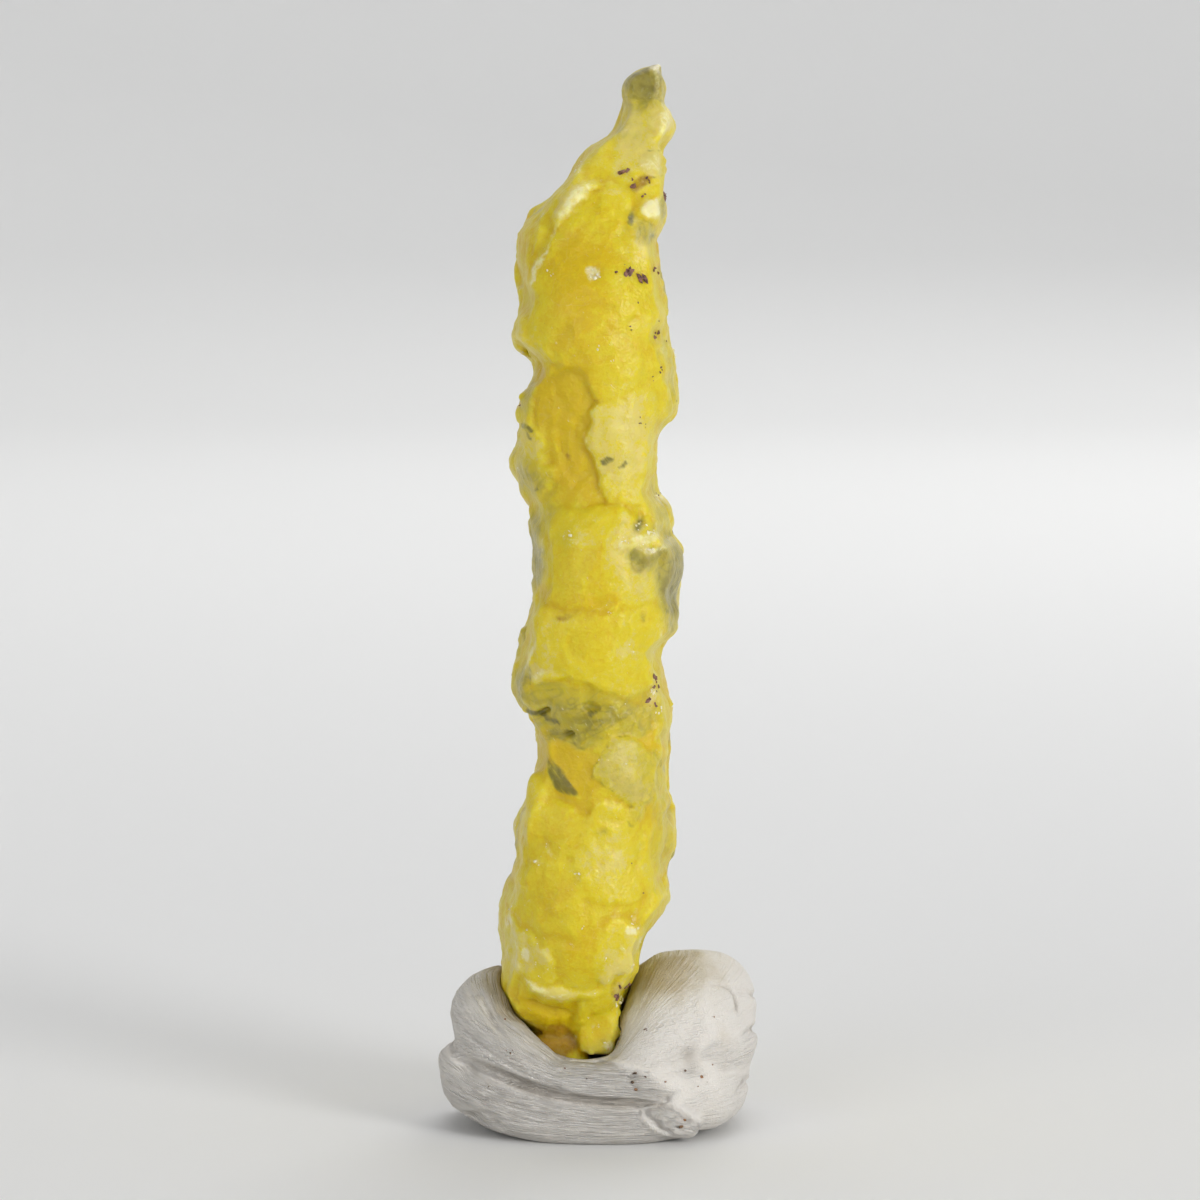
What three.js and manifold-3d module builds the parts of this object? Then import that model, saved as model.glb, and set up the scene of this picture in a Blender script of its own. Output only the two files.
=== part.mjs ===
// A lemon-yellow brucite specimen that stands in a kneaded lump of white putty.
//
// Frame: millimetres, +Z up. The origin lies on the table under the middle of the part's box. The specimen
// is an upright plate: its narrow edge faces -Y, the front, and its two broad knobbly faces look towards -X
// and +X. It grew as one crystal aggregate, so it is one solid. The putty is one lump with a pocket that fits
// the foot of the specimen. Both skins are spheres drawn in onto a field, a sum of rounded growth lobes.

import * as THREE from "three";
import { mergeVertices } from "three/addons/utils/BufferGeometryUtils.js";
import Module from "manifold-3d";

// ---- driving dimensions, in millimetres ----

const SPECIMEN_BOTTOM = 8.2; // lowest point of the specimen, inside the putty
const SPECIMEN_TOP = 117.9; // overall height of the part
const FOOT_FRONT = 14; // how far the putty's foot reaches forward of the middle
const POCKET_GAP = 0.45; // room between the specimen and the putty's pocket

const SIGHT_TILT = THREE.MathUtils.degToRad(6); // outlines are drawn as seen from this angle above level
const SIN_TILT = Math.sin(SIGHT_TILT);
const COS_TILT = Math.cos(SIGHT_TILT);

// The specimen's outline as seen from the front: [across, up], from the top down each side.
const LEFT_SIDE = [
  [4.5, 118.6], [3.6, 118.1], [2.4, 116.4], [1.9, 114.7], [1.9, 112.9], [1.5, 111.5], [1, 110],
  [-1.1, 109.8], [-1.5, 108.7], [-2.5, 108.4], [-3.9, 106.5], [-4.8, 104.9], [-6.1, 104], [-8, 103],
  [-8.7, 101], [-9.5, 99.3], [-9.5, 96], [-9, 93.9], [-8.3, 92.3], [-9, 90.2], [-9.5, 88], [-8.8, 86.8],
  [-7.4, 85.9], [-6.3, 84.9], [-7.3, 83.5], [-8.8, 81.6], [-8.9, 78.4], [-9.4, 76.5], [-10.1, 75.1],
  [-9.8, 73.7], [-8.8, 71.9], [-8.6, 70.6], [-7.6, 69.7], [-7.4, 66.9], [-6.9, 65.2], [-7, 61.4],
  [-7.4, 59.2], [-8.6, 56.5], [-8.7, 54.2], [-9.2, 51.7], [-9.6, 49.9], [-9, 48.4], [-8, 47.7],
  [-7.2, 44.6], [-6.6, 42.7], [-7.6, 40.5], [-7.7, 38.3], [-9.2, 36], [-9.6, 34.1], [-8.9, 31.4],
  [-10.2, 28.3], [-11, 26.2], [-11.3, 23.4], [-10.9, 20.7], [-10.9, 17.7], [-10.4, 15.6], [-9.2, 13.6],
  [-6.8, 11.9], [-4.4, 11.3], [-3, 11.2], [-2.5, 10.2], [-1.1, 9.1],
];
const RIGHT_SIDE = [
  [5, 118.5], [5.8, 117.8], [7, 116.4], [7.4, 115.4], [7, 114.4], [8.1, 113.1], [8.6, 111.5], [8, 110],
  [7, 109.2], [7.2, 107.6], [7.5, 106.3], [6.9, 104.3], [7.6, 101.5], [6.6, 99.4], [6.4, 97.1],
  [6.9, 94.4], [7.4, 91.1], [7.7, 88], [8.3, 86.7], [8.4, 85.1], [8.9, 83.6], [8.9, 80.6], [8.1, 79],
  [6.8, 78.9], [6.4, 76.5], [6.4, 72.4], [7, 71], [8.1, 69.6], [8.3, 67.5], [7.5, 66.6], [8.6, 66.1],
  [9.5, 64.7], [9.2, 61.6], [8.8, 59.2], [9.4, 56.4], [8.8, 55.4], [7.6, 55.1], [6.7, 54.2],
  [7.4, 51.2], [7.5, 49.3], [8.5, 47.1], [7.8, 44.9], [8, 42.7], [7.6, 41.4], [7.9, 38.3], [8.5, 36.1],
  [8.5, 31], [7.6, 29.9], [7.5, 28.2], [8, 26.5], [6.6, 24], [5.3, 22.6], [4.6, 20.7], [4.4, 19.6],
  [3.6, 17.6], [3, 15.2], [2.5, 13], [2, 11.3], [1.1, 10], [0, 9.4],
];

// The plate's front and back edges as seen from the side: [height, front, back].
const EDGES = [
  [8, -2.4, 2.8], [11, -5.4, 6], [14, -9, 8.4], [18, -12.4, 11], [24, -15, 13], [32, -16.2, 16],
  [38, -16.2, 17.8], [46, -16.6, 18.2], [52, -17.2, 16.4], [57, -17.6, 14.2], [62, -17.6, 14.6],
  [68, -16.8, 17.2], [76, -16, 18.6], [84, -16, 17], [90, -15.2, 13.2], [96, -13.4, 12],
  [101, -10.8, 11.6], [105, -7.8, 8.4], [109, -5.8, 5.8], [112, -4.6, 4.4], [116, -3.2, 3.2],
  [119, -1.2, 1.2],
];

// The line that the specimen's rings are centred on: [height, across].
const SPINE = [
  [8, -0.9], [12, -1.6], [16, -3.2], [22, -3], [30, -1], [45, 0], [60, 0.8], [75, -1.4], [90, -1],
  [98, -0.8], [103, 0.6], [106, 2.6], [110, 4.2], [114, 4.6], [118, 4.6],
];

// Growth plates on the front edge: [across, up, half width, half height, lean in degrees, how far proud].
const FRONT_PLATES = [
  [4.2, 107.4, 2.9, 4.6, 0, 0.4],
  [-0.4, 106.6, 2.4, 2.7, -20, 0.2],
  [-2.6, 102.6, 3.6, 3.4, -35, 0.4],
  [1.2, 98.6, 5.1, 6.8, -12, 1.2],
  [-0.8, 88.6, 7.2, 7.2, 8, 1.6],
  [-5.2, 78, 3.6, 6.8, 0, -1.8],
  [-1.7, 73, 2.2, 3.8, -14, -1.2],
  [3, 76.2, 3.3, 6.6, 4, 0.9],
  [0.1, 63.9, 6.4, 5.8, -8, 1.6],
  [-1, 54.6, 7.1, 5.9, 10, 0.6],
  [-1.4, 46.8, 6.6, 3.6, -6, -0.8],
  [-3.8, 40.2, 3.6, 5, 0, -2],
  [2.9, 40.3, 3.6, 3.4, 12, 0.8],
  [-3.4, 31.2, 5.2, 5.4, 15, -0.2],
  [-1.8, 24.6, 6.3, 7.2, -6, 1],
  [-3.7, 17.6, 5.6, 3.6, 0, 0.8],
  [-6.1, 14.4, 3, 2.1, 20, -1.6],
  [-0.2, 12.3, 2, 2.9, 0, 0.4],
];

// Knobs that stand out on the plate's sides and top: [across, up, back, half width, half height, half depth].
const KNOBS = [
  [4.6, 115.3, 0, 2.7, 3.2, 2.9],
  [5.9, 111.6, 0.6, 2.7, 2.7, 3],
  [3.6, 111, -0.6, 2.2, 3.6, 2.7],
  [-6, 98, 7, 3.4, 5.2, 5.2],
  [-5.9, 88.7, -9, 3.5, 3.7, 6],
  [6.2, 82.4, 4, 2.6, 4.2, 6.4],
  [-7.2, 74, 2, 2.8, 2.8, 5],
  [-5.4, 79.6, 8, 3.3, 3.6, 6],
  [5.8, 69, -3, 2.4, 2.6, 4.4],
  [6.4, 61.2, 6, 2.9, 4.6, 6.6],
  [6.6, 57.6, 9, 2.5, 2.4, 4],
  [-4.2, 63, 9, 2.7, 5.4, 6],
  [-7, 50.4, 4, 2.5, 2.6, 4.6],
  [6, 47.2, 5, 2.4, 2.6, 4.4],
  [5.2, 33.6, 3, 3.1, 3.8, 6],
  [-6.8, 34.2, 4, 2.7, 2.9, 5],
  [5.2, 27.2, 6, 2.6, 2.6, 5],
  [-7.2, 23.6, -3, 3.9, 5, 8],
];

// Rolls of putty: [across, forward, up, half width, half depth, half height].
const PUTTY_ROLLS = [
  [0, 1, 6, 13.5, 15.5, 8],
  [9.7, 3, 11.4, 7.9, 12, 7.6],
  [11.9, -2, 9.2, 5.6, 11.5, 4.2],
  [10.6, -3, 4.6, 6.4, 11, 5.8],
  [-10.6, 2, 9.6, 6.2, 12, 6.8],
  [-11.4, -2.5, 4.8, 6.2, 11.5, 6],
  [-1, -7.5, 4.2, 10.5, 8.8, 5.6],
  [-1, 10, 8.4, 11.5, 7.4, 7.2],
];

// ---- fields: signed distances in millimetres, negative inside ----

const CORE_INSET = 2.6; // the plain core lies this far inside the outline, and the lobes fill the rest
const CORE_ROUND = 3.5; // radius of the core's rim
const LOBE_BLEND = 1.2; // fillet where lobes of the specimen meet
const PUTTY_BLEND = 1.6; // fillet where rolls of putty meet
const PLATE_DEPTH = 4.2; // half thickness of a growth plate
const PLATE_POWER = 2.8; // above 2, a plate's face is flatter than an ellipsoid's

const LEAST_LOBE = 1.5; // a lobe with a smaller radius is left out

const RIM_STEP = 2.6; // spacing of the small lobes that touch the outline
const RIM_RADIUS = [2, 3.4]; // smallest and largest
const SWELL_STEP = 5.5; // spacing of the broad swells on the faces, along the outline
const SWELL_ROWS = 6; // rows of swells from front to back
const SWELL_RADIUS = [2.6, 5.2];
const SWELL_INSET = [0.4, 2.4]; // how far inside the outline a swell stays
const BACK_STEP = 8.5; // spacing of the growth plates on the back edge

const share = (n, step) => (n * step) % 1; // evenly spread fractions in place of chance
const heightSeen = (y, z) => z * COS_TILT + (y + FOOT_FRONT) * SIN_TILT;
const heightOf = (seen, y) => (seen - (y + FOOT_FRONT) * SIN_TILT) / COS_TILT;

// Reads column `column` of a table at `key`, with straight lines between its rows.
function readTable(table, key, column) {
  const next = table.findIndex((row) => row[0] >= key);
  if (next === 0) return table[0][column];
  if (next < 0) return table[table.length - 1][column];
  const [low, high] = [table[next - 1], table[next]];
  return THREE.MathUtils.mapLinear(key, low[0], high[0], low[column], high[column]);
}

// Signed distance from a point to a closed outline.
function outlineDistance(outline, u, v) {
  let nearest = Infinity;
  let inside = false;
  for (let i = 0, j = outline.length - 1; i < outline.length; j = i++) {
    const [ax, ay] = outline[j];
    const [bx, by] = outline[i];
    const [dx, dy] = [bx - ax, by - ay];
    const along = THREE.MathUtils.clamp(((u - ax) * dx + (v - ay) * dy) / (dx * dx + dy * dy), 0, 1);
    nearest = Math.min(nearest, Math.hypot(u - ax - along * dx, v - ay - along * dy));
    if (ay > v !== by > v && u < ax + ((v - ay) / dy) * dx) inside = !inside;
  }
  return inside ? -nearest : nearest;
}

function smoothUnion(a, b, blend) {
  const overlap = Math.max(blend - Math.abs(a - b), 0);
  return Math.min(a, b) - (overlap * overlap) / (4 * blend);
}

function roundedIntersection(a, b, radius) {
  const [ra, rb] = [a + radius, b + radius];
  return Math.min(Math.max(ra, rb), 0) + Math.hypot(Math.max(ra, 0), Math.max(rb, 0)) - radius;
}

// A lobe is an ellipsoid, or a flatter-faced form of one where power is above 2, leaned about the Y axis.
function makeLobe(centre, radii, lean = 0, power = 2) {
  const reach = Math.max(...radii) + LOBE_BLEND;
  return { centre, radii, sin: Math.sin(lean), cos: Math.cos(lean), power, reach };
}

function lobeDistance(lobe, x, y, z) {
  const [px, py, pz] = [x - lobe.centre[0], y - lobe.centre[1], z - lobe.centre[2]];
  const [rx, ry, rz] = lobe.radii;
  const a = Math.abs((px * lobe.cos + pz * lobe.sin) / rx);
  const b = Math.abs(py / ry);
  const c = Math.abs((pz * lobe.cos - px * lobe.sin) / rz);
  const n = lobe.power;
  const size = Math.pow(a ** n + b ** n + c ** n, 1 / n);
  const steepness = Math.hypot(a ** (n - 1) / rx, b ** (n - 1) / ry, c ** (n - 1) / rz);
  const slope = steepness / Math.max(size, 1e-6) ** (n - 1);
  return (size - 1) / Math.max(slope, 1e-6);
}

const OUTLINE = [...LEFT_SIDE, ...[...RIGHT_SIDE].reverse()];
const SIDE_OUTLINE = [
  ...EDGES.map(([height, front]) => [front, height]),
  ...EDGES.map(([height, , back]) => [back, height]).reverse(),
];

// The largest lobe that lies inside both outlines, inset from the point `at` of one side and at most `radius`
// wide. `depth` is its place from 0, at the front edge, to 1, at the back edge.
function lobeInside(at, tangent, inward, depth, inset, radius, depthRatio) {
  let r = radius;
  const centre = () => [at.x - inward * tangent.y * (inset + r), at.y + inward * tangent.x * (inset + r)];
  while (r > LEAST_LOBE && -outlineDistance(OUTLINE, ...centre()) < 0.94 * (inset + r)) r *= 0.88;
  if (r <= LEAST_LOBE) return [];
  const [u, v] = centre();
  const height = v - FOOT_FRONT * SIN_TILT;
  const halfDepth = r * depthRatio;
  const front = readTable(EDGES, height, 1) + halfDepth;
  const back = readTable(EDGES, height, 2) - halfDepth;
  if (front > back) return [];
  const y = THREE.MathUtils.lerp(front, back, depth);
  return [makeLobe([u, y, heightOf(v, y)], [r, halfDepth, r])];
}

// Small lobes that touch the outline, and broad swells in rows over each face.
function faceLobes() {
  const lobes = [];
  for (const side of [LEFT_SIDE, RIGHT_SIDE]) {
    const inward = side === LEFT_SIDE ? 1 : -1;
    const path = new THREE.CurvePath();
    side.slice(1).forEach(([u, v], i) => {
      path.add(new THREE.LineCurve(new THREE.Vector2(...side[i]), new THREE.Vector2(u, v)));
    });
    const stations = Math.floor(path.getLength() / RIM_STEP);
    for (let n = 1; n < stations; n++) {
      const [at, tangent] = [path.getPointAt(n / stations), path.getTangentAt(n / stations)];
      const wander = 0.5 + 0.26 * Math.sin(0.31 * at.y + inward) + 0.3 * (share(n, 0.5698) - 0.5);
      const radius = THREE.MathUtils.lerp(...RIM_RADIUS, share(n, 0.4142));
      lobes.push(...lobeInside(at, tangent, inward, wander, 0, radius, 1.2 + share(n, 0.3247)));
    }
    const columns = Math.floor(path.getLength() / SWELL_STEP);
    for (let n = 0; n < columns * SWELL_ROWS; n++) {
      const [column, row] = [Math.floor(n / SWELL_ROWS), n % SWELL_ROWS];
      const along = (column + 0.5 + 0.7 * (share(n, 0.7549) - 0.5)) / columns;
      const [at, tangent] = [path.getPointAt(along), path.getTangentAt(along)];
      const depth = (row + 0.5 + 0.8 * (share(n, 0.5698) - 0.5)) / SWELL_ROWS;
      const inset = THREE.MathUtils.lerp(...SWELL_INSET, share(n, 0.618)) + (2 * depth - 1) ** 4;
      const radius = THREE.MathUtils.lerp(...SWELL_RADIUS, share(n, 0.4142));
      lobes.push(...lobeInside(at, tangent, inward, depth, inset, radius, 1 + 0.5 * share(n, 0.3247)));
    }
  }
  return lobes;
}

function frontPlates() {
  return FRONT_PLATES.map(([u, v, halfWidth, halfHeight, lean, proud]) => {
    const front = readTable(EDGES, v, 1);
    const y = front + PLATE_DEPTH - proud;
    const radii = [halfWidth, PLATE_DEPTH, halfHeight];
    return makeLobe([u, y, heightOf(v, front)], radii, THREE.MathUtils.degToRad(lean), PLATE_POWER);
  });
}

// Growth plates on the back edge, evenly spaced, each leaning its own way.
function backPlates() {
  const count = Math.floor((SPECIMEN_TOP - 25) / BACK_STEP);
  return Array.from({ length: count }, (_, n) => {
    const z = 18 + (n + 0.4 * share(n, 0.618)) * BACK_STEP;
    const halfWidth = 4.6 + 1.6 * share(n, 0.7549);
    const halfHeight = 4.4 + 2 * share(n, 0.5698);
    const y = readTable(EDGES, z, 2) - PLATE_DEPTH + 0.8 * share(n, 0.4142);
    const lean = THREE.MathUtils.degToRad(50 * (share(n, 0.3247) - 0.5));
    const x = THREE.MathUtils.clamp(readTable(SPINE, z, 1) + 3 * (share(n, 0.8191) - 0.5), -3, 3);
    return makeLobe([x, y, z], [halfWidth, PLATE_DEPTH, halfHeight], lean, PLATE_POWER);
  });
}

const knobs = () => KNOBS.map(([u, v, y, rx, rz, ry]) => makeLobe([u, y, heightOf(v, y)], [rx, ry, rz]));

const LOBES = [...faceLobes(), ...knobs(), ...frontPlates(), ...backPlates()];

function specimenField(x, y, z) {
  const across = outlineDistance(OUTLINE, x, heightSeen(y, z)) + CORE_INSET;
  const along = outlineDistance(SIDE_OUTLINE, y, z) + CORE_INSET / 2;
  let field = roundedIntersection(across, along, CORE_ROUND);
  for (const lobe of LOBES) {
    const near =
      Math.abs(z - lobe.centre[2]) < lobe.reach &&
      Math.abs(x - lobe.centre[0]) < lobe.reach &&
      Math.abs(y - lobe.centre[1]) < lobe.reach;
    if (near) field = smoothUnion(field, lobeDistance(lobe, x, y, z), LOBE_BLEND);
  }
  return field;
}

const ROLLS = PUTTY_ROLLS.map(([x, y, z, ...radii]) => makeLobe([x, y, z], radii));
const puttyField = (x, y, z) =>
  ROLLS.reduce((field, roll) => smoothUnion(field, lobeDistance(roll, x, y, z), PUTTY_BLEND), Infinity);

// ---- skins ----

const MARCH = 0.4; // step of the search for the surface
const HALVINGS = 12; // then the last step is halved this often
const LEAST_RADIUS = 0.15; // keeps a ring open where the field is empty

// Distance from start, along direction, to the outermost surface of the field.
function surfaceDistance(field, start, direction, reach) {
  const at = new THREE.Vector3();
  const inside = (t) => {
    at.copy(start).addScaledVector(direction, t);
    return field(at.x, at.y, at.z) < 0;
  };
  let outer = reach;
  while (outer > MARCH && !inside(outer - MARCH)) outer -= MARCH;
  let inner = outer - MARCH;
  if (inner <= 0) return LEAST_RADIUS;
  for (let i = 0; i < HALVINGS; i++) {
    const middle = (inner + outer) / 2;
    if (inside(middle)) inner = middle;
    else outer = middle;
  }
  return Math.max(inner, LEAST_RADIUS);
}

// Moves each vertex of a unit sphere to place(sector, ring): sectors go once round, rings from the top down.
function drawIn(sectors, rings, place) {
  const sphere = new THREE.SphereGeometry(1, sectors, rings);
  const position = sphere.getAttribute("position");
  const uv = sphere.getAttribute("uv");
  for (let i = 0; i < position.count; i++) {
    const ring = Math.round((1 - uv.getY(i)) * rings);
    const pole = ring === 0 || ring === rings;
    const sector = pole ? 0 : Math.floor(i % (sectors + 1)) % sectors;
    const point = place(sector, ring);
    position.setXYZ(i, point.x, point.y, point.z);
  }
  sphere.deleteAttribute("normal");
  sphere.deleteAttribute("uv");
  return mergeVertices(sphere, 1e-4);
}

// A skin of level rings. Each ray starts on the plate's middle plane and leaves it nearly square to the face.
// Its length is then eased towards its neighbours', so no single facet stands up as a spike.
function specimenSkin(field, bottom, top) {
  const [sectors, rings, rim, reach, easings] = [48, 80, 5, 16, 1];
  const ray = (sector, ring) => {
    const turn = (sector / sectors) * 2 * Math.PI;
    const drop = ring / rings - 0.06 * Math.sin((2 * Math.PI * ring) / rings);
    const z = THREE.MathUtils.lerp(top, bottom, drop);
    const [front, back] = [readTable(EDGES, z, 1) + rim, readTable(EDGES, z, 2) - rim];
    const y = back > front ? THREE.MathUtils.mapLinear(Math.sin(turn), -1, 1, front, back) : 0;
    const start = new THREE.Vector3(readTable(SPINE, z, 1), y, z);
    const out = new THREE.Vector3(Math.cos(turn), Math.sin(turn) ** 3, 0).normalize();
    return { start, out };
  };
  const pole = (ring) => ring === 0 || ring === rings;
  let lengths = Array.from({ length: rings + 1 }, (_, ring) =>
    Array.from({ length: sectors }, (_, sector) => {
      const { start, out } = ray(sector, ring);
      return pole(ring) ? 0 : surfaceDistance(field, start, out, reach);
    }),
  );
  for (let pass = 0; pass < easings; pass++) {
    lengths = lengths.map((row, ring) =>
      row.map((length, sector) => {
        if (pole(ring)) return 0;
        const beside = row[(sector + 1) % sectors] + row[(sector + sectors - 1) % sectors];
        return 0.5 * length + 0.125 * (beside + lengths[ring - 1][sector] + lengths[ring + 1][sector]);
      }),
    );
  }
  return drawIn(sectors, rings, (sector, ring) => {
    const { start, out } = ray(sector, ring);
    return pole(ring) ? ray(0, ring).start.setY(0) : start.addScaledVector(out, lengths[ring][sector]);
  });
}

const UPRIGHT = new THREE.Matrix4().makeRotationX(Math.PI / 2); // turns a polar axis along Y to lie along Z

// A skin of rays from a point low in the middle of the lump.
function puttySkin(sectors, rings) {
  const [start, reach] = [new THREE.Vector3(0, 1, 5), 30];
  return drawIn(sectors, rings, (sector, ring) => {
    const [turn, fall] = [(sector / sectors) * 2 * Math.PI, (ring / rings) * Math.PI];
    const out = new THREE.Vector3().setFromSphericalCoords(1, fall, turn).applyMatrix4(UPRIGHT);
    return start.clone().addScaledVector(out, surfaceDistance(puttyField, start, out, reach));
  });
}

// ---- solids ----

const wasm = await Module();
wasm.setup();

function toSolid(geometry) {
  const vertProperties = new Float32Array(geometry.getAttribute("position").array);
  const triVerts = new Uint32Array(geometry.index.array);
  const solid = new wasm.Manifold(new wasm.Mesh({ numProp: 3, vertProperties, triVerts }));
  if (solid.volume() > 0) return solid;
  for (let i = 0; i < triVerts.length; i += 3) {
    [triVerts[i + 1], triVerts[i + 2]] = [triVerts[i + 2], triVerts[i + 1]];
  }
  return new wasm.Manifold(new wasm.Mesh({ numProp: 3, vertProperties, triVerts }));
}

function toGeometry(solid) {
  const mesh = solid.getMesh();
  const geometry = new THREE.BufferGeometry();
  geometry.setAttribute("position", new THREE.BufferAttribute(mesh.vertProperties, 3));
  geometry.setIndex(new THREE.BufferAttribute(mesh.triVerts, 1));
  geometry.computeVertexNormals();
  return geometry;
}

function makeSpecimen() {
  const skin = specimenSkin(specimenField, SPECIMEN_BOTTOM, SPECIMEN_TOP);
  const material = new THREE.MeshStandardMaterial({ color: 0xd9c63c, roughness: 0.45, metalness: 0 });
  const mesh = new THREE.Mesh(toGeometry(toSolid(skin)), material);
  mesh.name = "brucite_specimen";
  return mesh;
}

function makePutty() {
  const looseField = (x, y, z) => specimenField(x, y, z) - POCKET_GAP;
  const pocket = toSolid(specimenSkin(looseField, SPECIMEN_BOTTOM - POCKET_GAP, SPECIMEN_TOP + POCKET_GAP));
  const table = toSolid(mergeVertices(bare(new THREE.BoxGeometry(100, 100, 40).translate(0, 0, -20))));
  const lump = toSolid(puttySkin(44, 26)).subtract(table).subtract(pocket);
  const material = new THREE.MeshStandardMaterial({ color: 0xcfc9c0, roughness: 0.85, metalness: 0 });
  const mesh = new THREE.Mesh(toGeometry(lump), material);
  mesh.name = "putty_lump";
  return mesh;
}

function bare(geometry) {
  geometry.deleteAttribute("normal");
  geometry.deleteAttribute("uv");
  return geometry;
}

const part = new THREE.Group();
part.add(makePutty(), makeSpecimen());

export default part;
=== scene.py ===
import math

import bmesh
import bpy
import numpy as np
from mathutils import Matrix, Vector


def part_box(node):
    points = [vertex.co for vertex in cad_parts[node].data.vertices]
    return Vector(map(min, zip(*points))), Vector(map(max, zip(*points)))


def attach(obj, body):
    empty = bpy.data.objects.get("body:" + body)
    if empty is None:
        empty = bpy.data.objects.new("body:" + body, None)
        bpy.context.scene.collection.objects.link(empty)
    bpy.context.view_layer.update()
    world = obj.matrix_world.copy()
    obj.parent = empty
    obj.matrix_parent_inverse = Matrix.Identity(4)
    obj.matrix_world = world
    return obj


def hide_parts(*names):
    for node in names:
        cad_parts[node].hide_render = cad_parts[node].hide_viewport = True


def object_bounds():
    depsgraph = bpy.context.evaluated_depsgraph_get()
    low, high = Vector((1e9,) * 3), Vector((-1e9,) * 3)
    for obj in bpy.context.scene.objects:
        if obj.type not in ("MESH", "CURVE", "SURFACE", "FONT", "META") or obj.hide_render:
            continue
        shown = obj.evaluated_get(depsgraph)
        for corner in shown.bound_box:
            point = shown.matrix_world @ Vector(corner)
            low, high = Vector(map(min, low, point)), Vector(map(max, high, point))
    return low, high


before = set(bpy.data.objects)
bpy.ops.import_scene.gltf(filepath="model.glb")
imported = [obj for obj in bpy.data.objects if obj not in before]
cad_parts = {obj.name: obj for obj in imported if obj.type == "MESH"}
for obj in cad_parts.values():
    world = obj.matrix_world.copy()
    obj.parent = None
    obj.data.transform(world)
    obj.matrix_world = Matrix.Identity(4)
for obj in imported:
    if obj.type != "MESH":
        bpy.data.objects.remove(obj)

# A lemon-yellow brucite specimen that stands in a kneaded lump of white putty.
#
# The specimen grew as one aggregate, so its visible skin is one mesh: the solid's own shape, softened, with
# growth plates laid over each side like shingles and a fine relief over it all. The putty is rolls that were
# folded into one another, with creases between them. Both are made as fields of distances in millimetres and
# then skinned. Grains of host rock, white crystal points, some of which are painted glints, and the bits of
# grime that the putty picked up are joined meshes of their own.

import openvdb
from mathutils import Euler, Vector, noise

MM = 0.001
CAD_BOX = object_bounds()


# ---- places, in millimetres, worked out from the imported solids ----


def corners(node):
    low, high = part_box(node)
    return np.array(low) / MM, np.array(high) / MM


STONE_LOW, STONE_HIGH = corners("brucite_specimen")
PUTTY_LOW, _ = corners("putty_lump")
STONE_MIDDLE = (STONE_LOW + STONE_HIGH) / 2
STONE_FOOT = np.array([STONE_MIDDLE[0], STONE_MIDDLE[1], STONE_LOW[2]])  # the middle line's lower end
PUTTY_FOOT = np.zeros(3)  # the lump is laid out round the frame's own origin

# The four ways to look at the specimen: where its across axis points, and the way in.
SIDES = {
    "front": (np.array([1.0, 0, 0]), np.array([0, 1.0, 0])),
    "right": (np.array([0, 1.0, 0]), np.array([-1.0, 0, 0])),
    "back": (np.array([-1.0, 0, 0]), np.array([0, -1.0, 0])),
    "left": (np.array([0, -1.0, 0]), np.array([1.0, 0, 0])),
}
UP = np.array([0, 0, 1.0])
AWAY = 40.0  # well clear of every side
BROAD, NARROW = 17, 9  # half the width of the broad sides, and of the back
SIGHT_TILT = 6.0  # how far above level the camera looks down from, in degrees


# ---- fields of distances ----

VOXEL = 0.28  # spacing of a field's points
BAND = 2.4  # a field is true this near its surface, and constant beyond
ROOM = 4.0  # space round a solid for what grows on it


def spread(values, sigma):
    """Values blurred by sigma millimetres."""
    reach = max(1, math.ceil(2.6 * sigma / VOXEL))
    offsets = np.arange(-reach, reach + 1)
    weights = np.exp(-0.5 * (offsets * VOXEL / sigma) ** 2)
    weights /= weights.sum()
    for axis in range(values.ndim):
        blurred = np.zeros_like(values)
        for offset, weight in zip(offsets, weights):
            blurred += np.float32(weight) * np.roll(values, offset, axis)
        values = blurred
    return values


def rough(shape, size, seed):
    """A grid of smooth chance values, about -2 to 2, that vary over size millimetres."""
    values = spread(np.random.default_rng(seed).standard_normal(shape).astype(np.float32), size)
    return values / values.std()


def between(values, at):
    """Values of a grid at places between its points, each drawn straight from the nearest ones."""
    cell = np.clip(np.floor(at).astype(int), 0, np.array(values.shape) - 2)
    part = np.clip(at - cell, 0, 1)
    total = np.zeros(len(at))
    for corner in np.ndindex(*(2,) * values.ndim):
        weight = np.prod(np.where(corner, part, 1 - part), axis=1)
        total += weight * values[tuple((cell + corner).T)]
    return total


def smooth_least(a, b, blend):
    """The lesser of two, rounded off where they are nearly the same."""
    overlap = np.maximum(blend - np.abs(a - b), 0)
    return np.minimum(a, b) - overlap * overlap / (4 * blend)


def ease(value, start, end):
    """0 before start, 1 after end, and smooth between; start may lie above end."""
    share = np.clip((value - start) / (end - start), 0, 1)
    return share * share * (3 - 2 * share)


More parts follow.
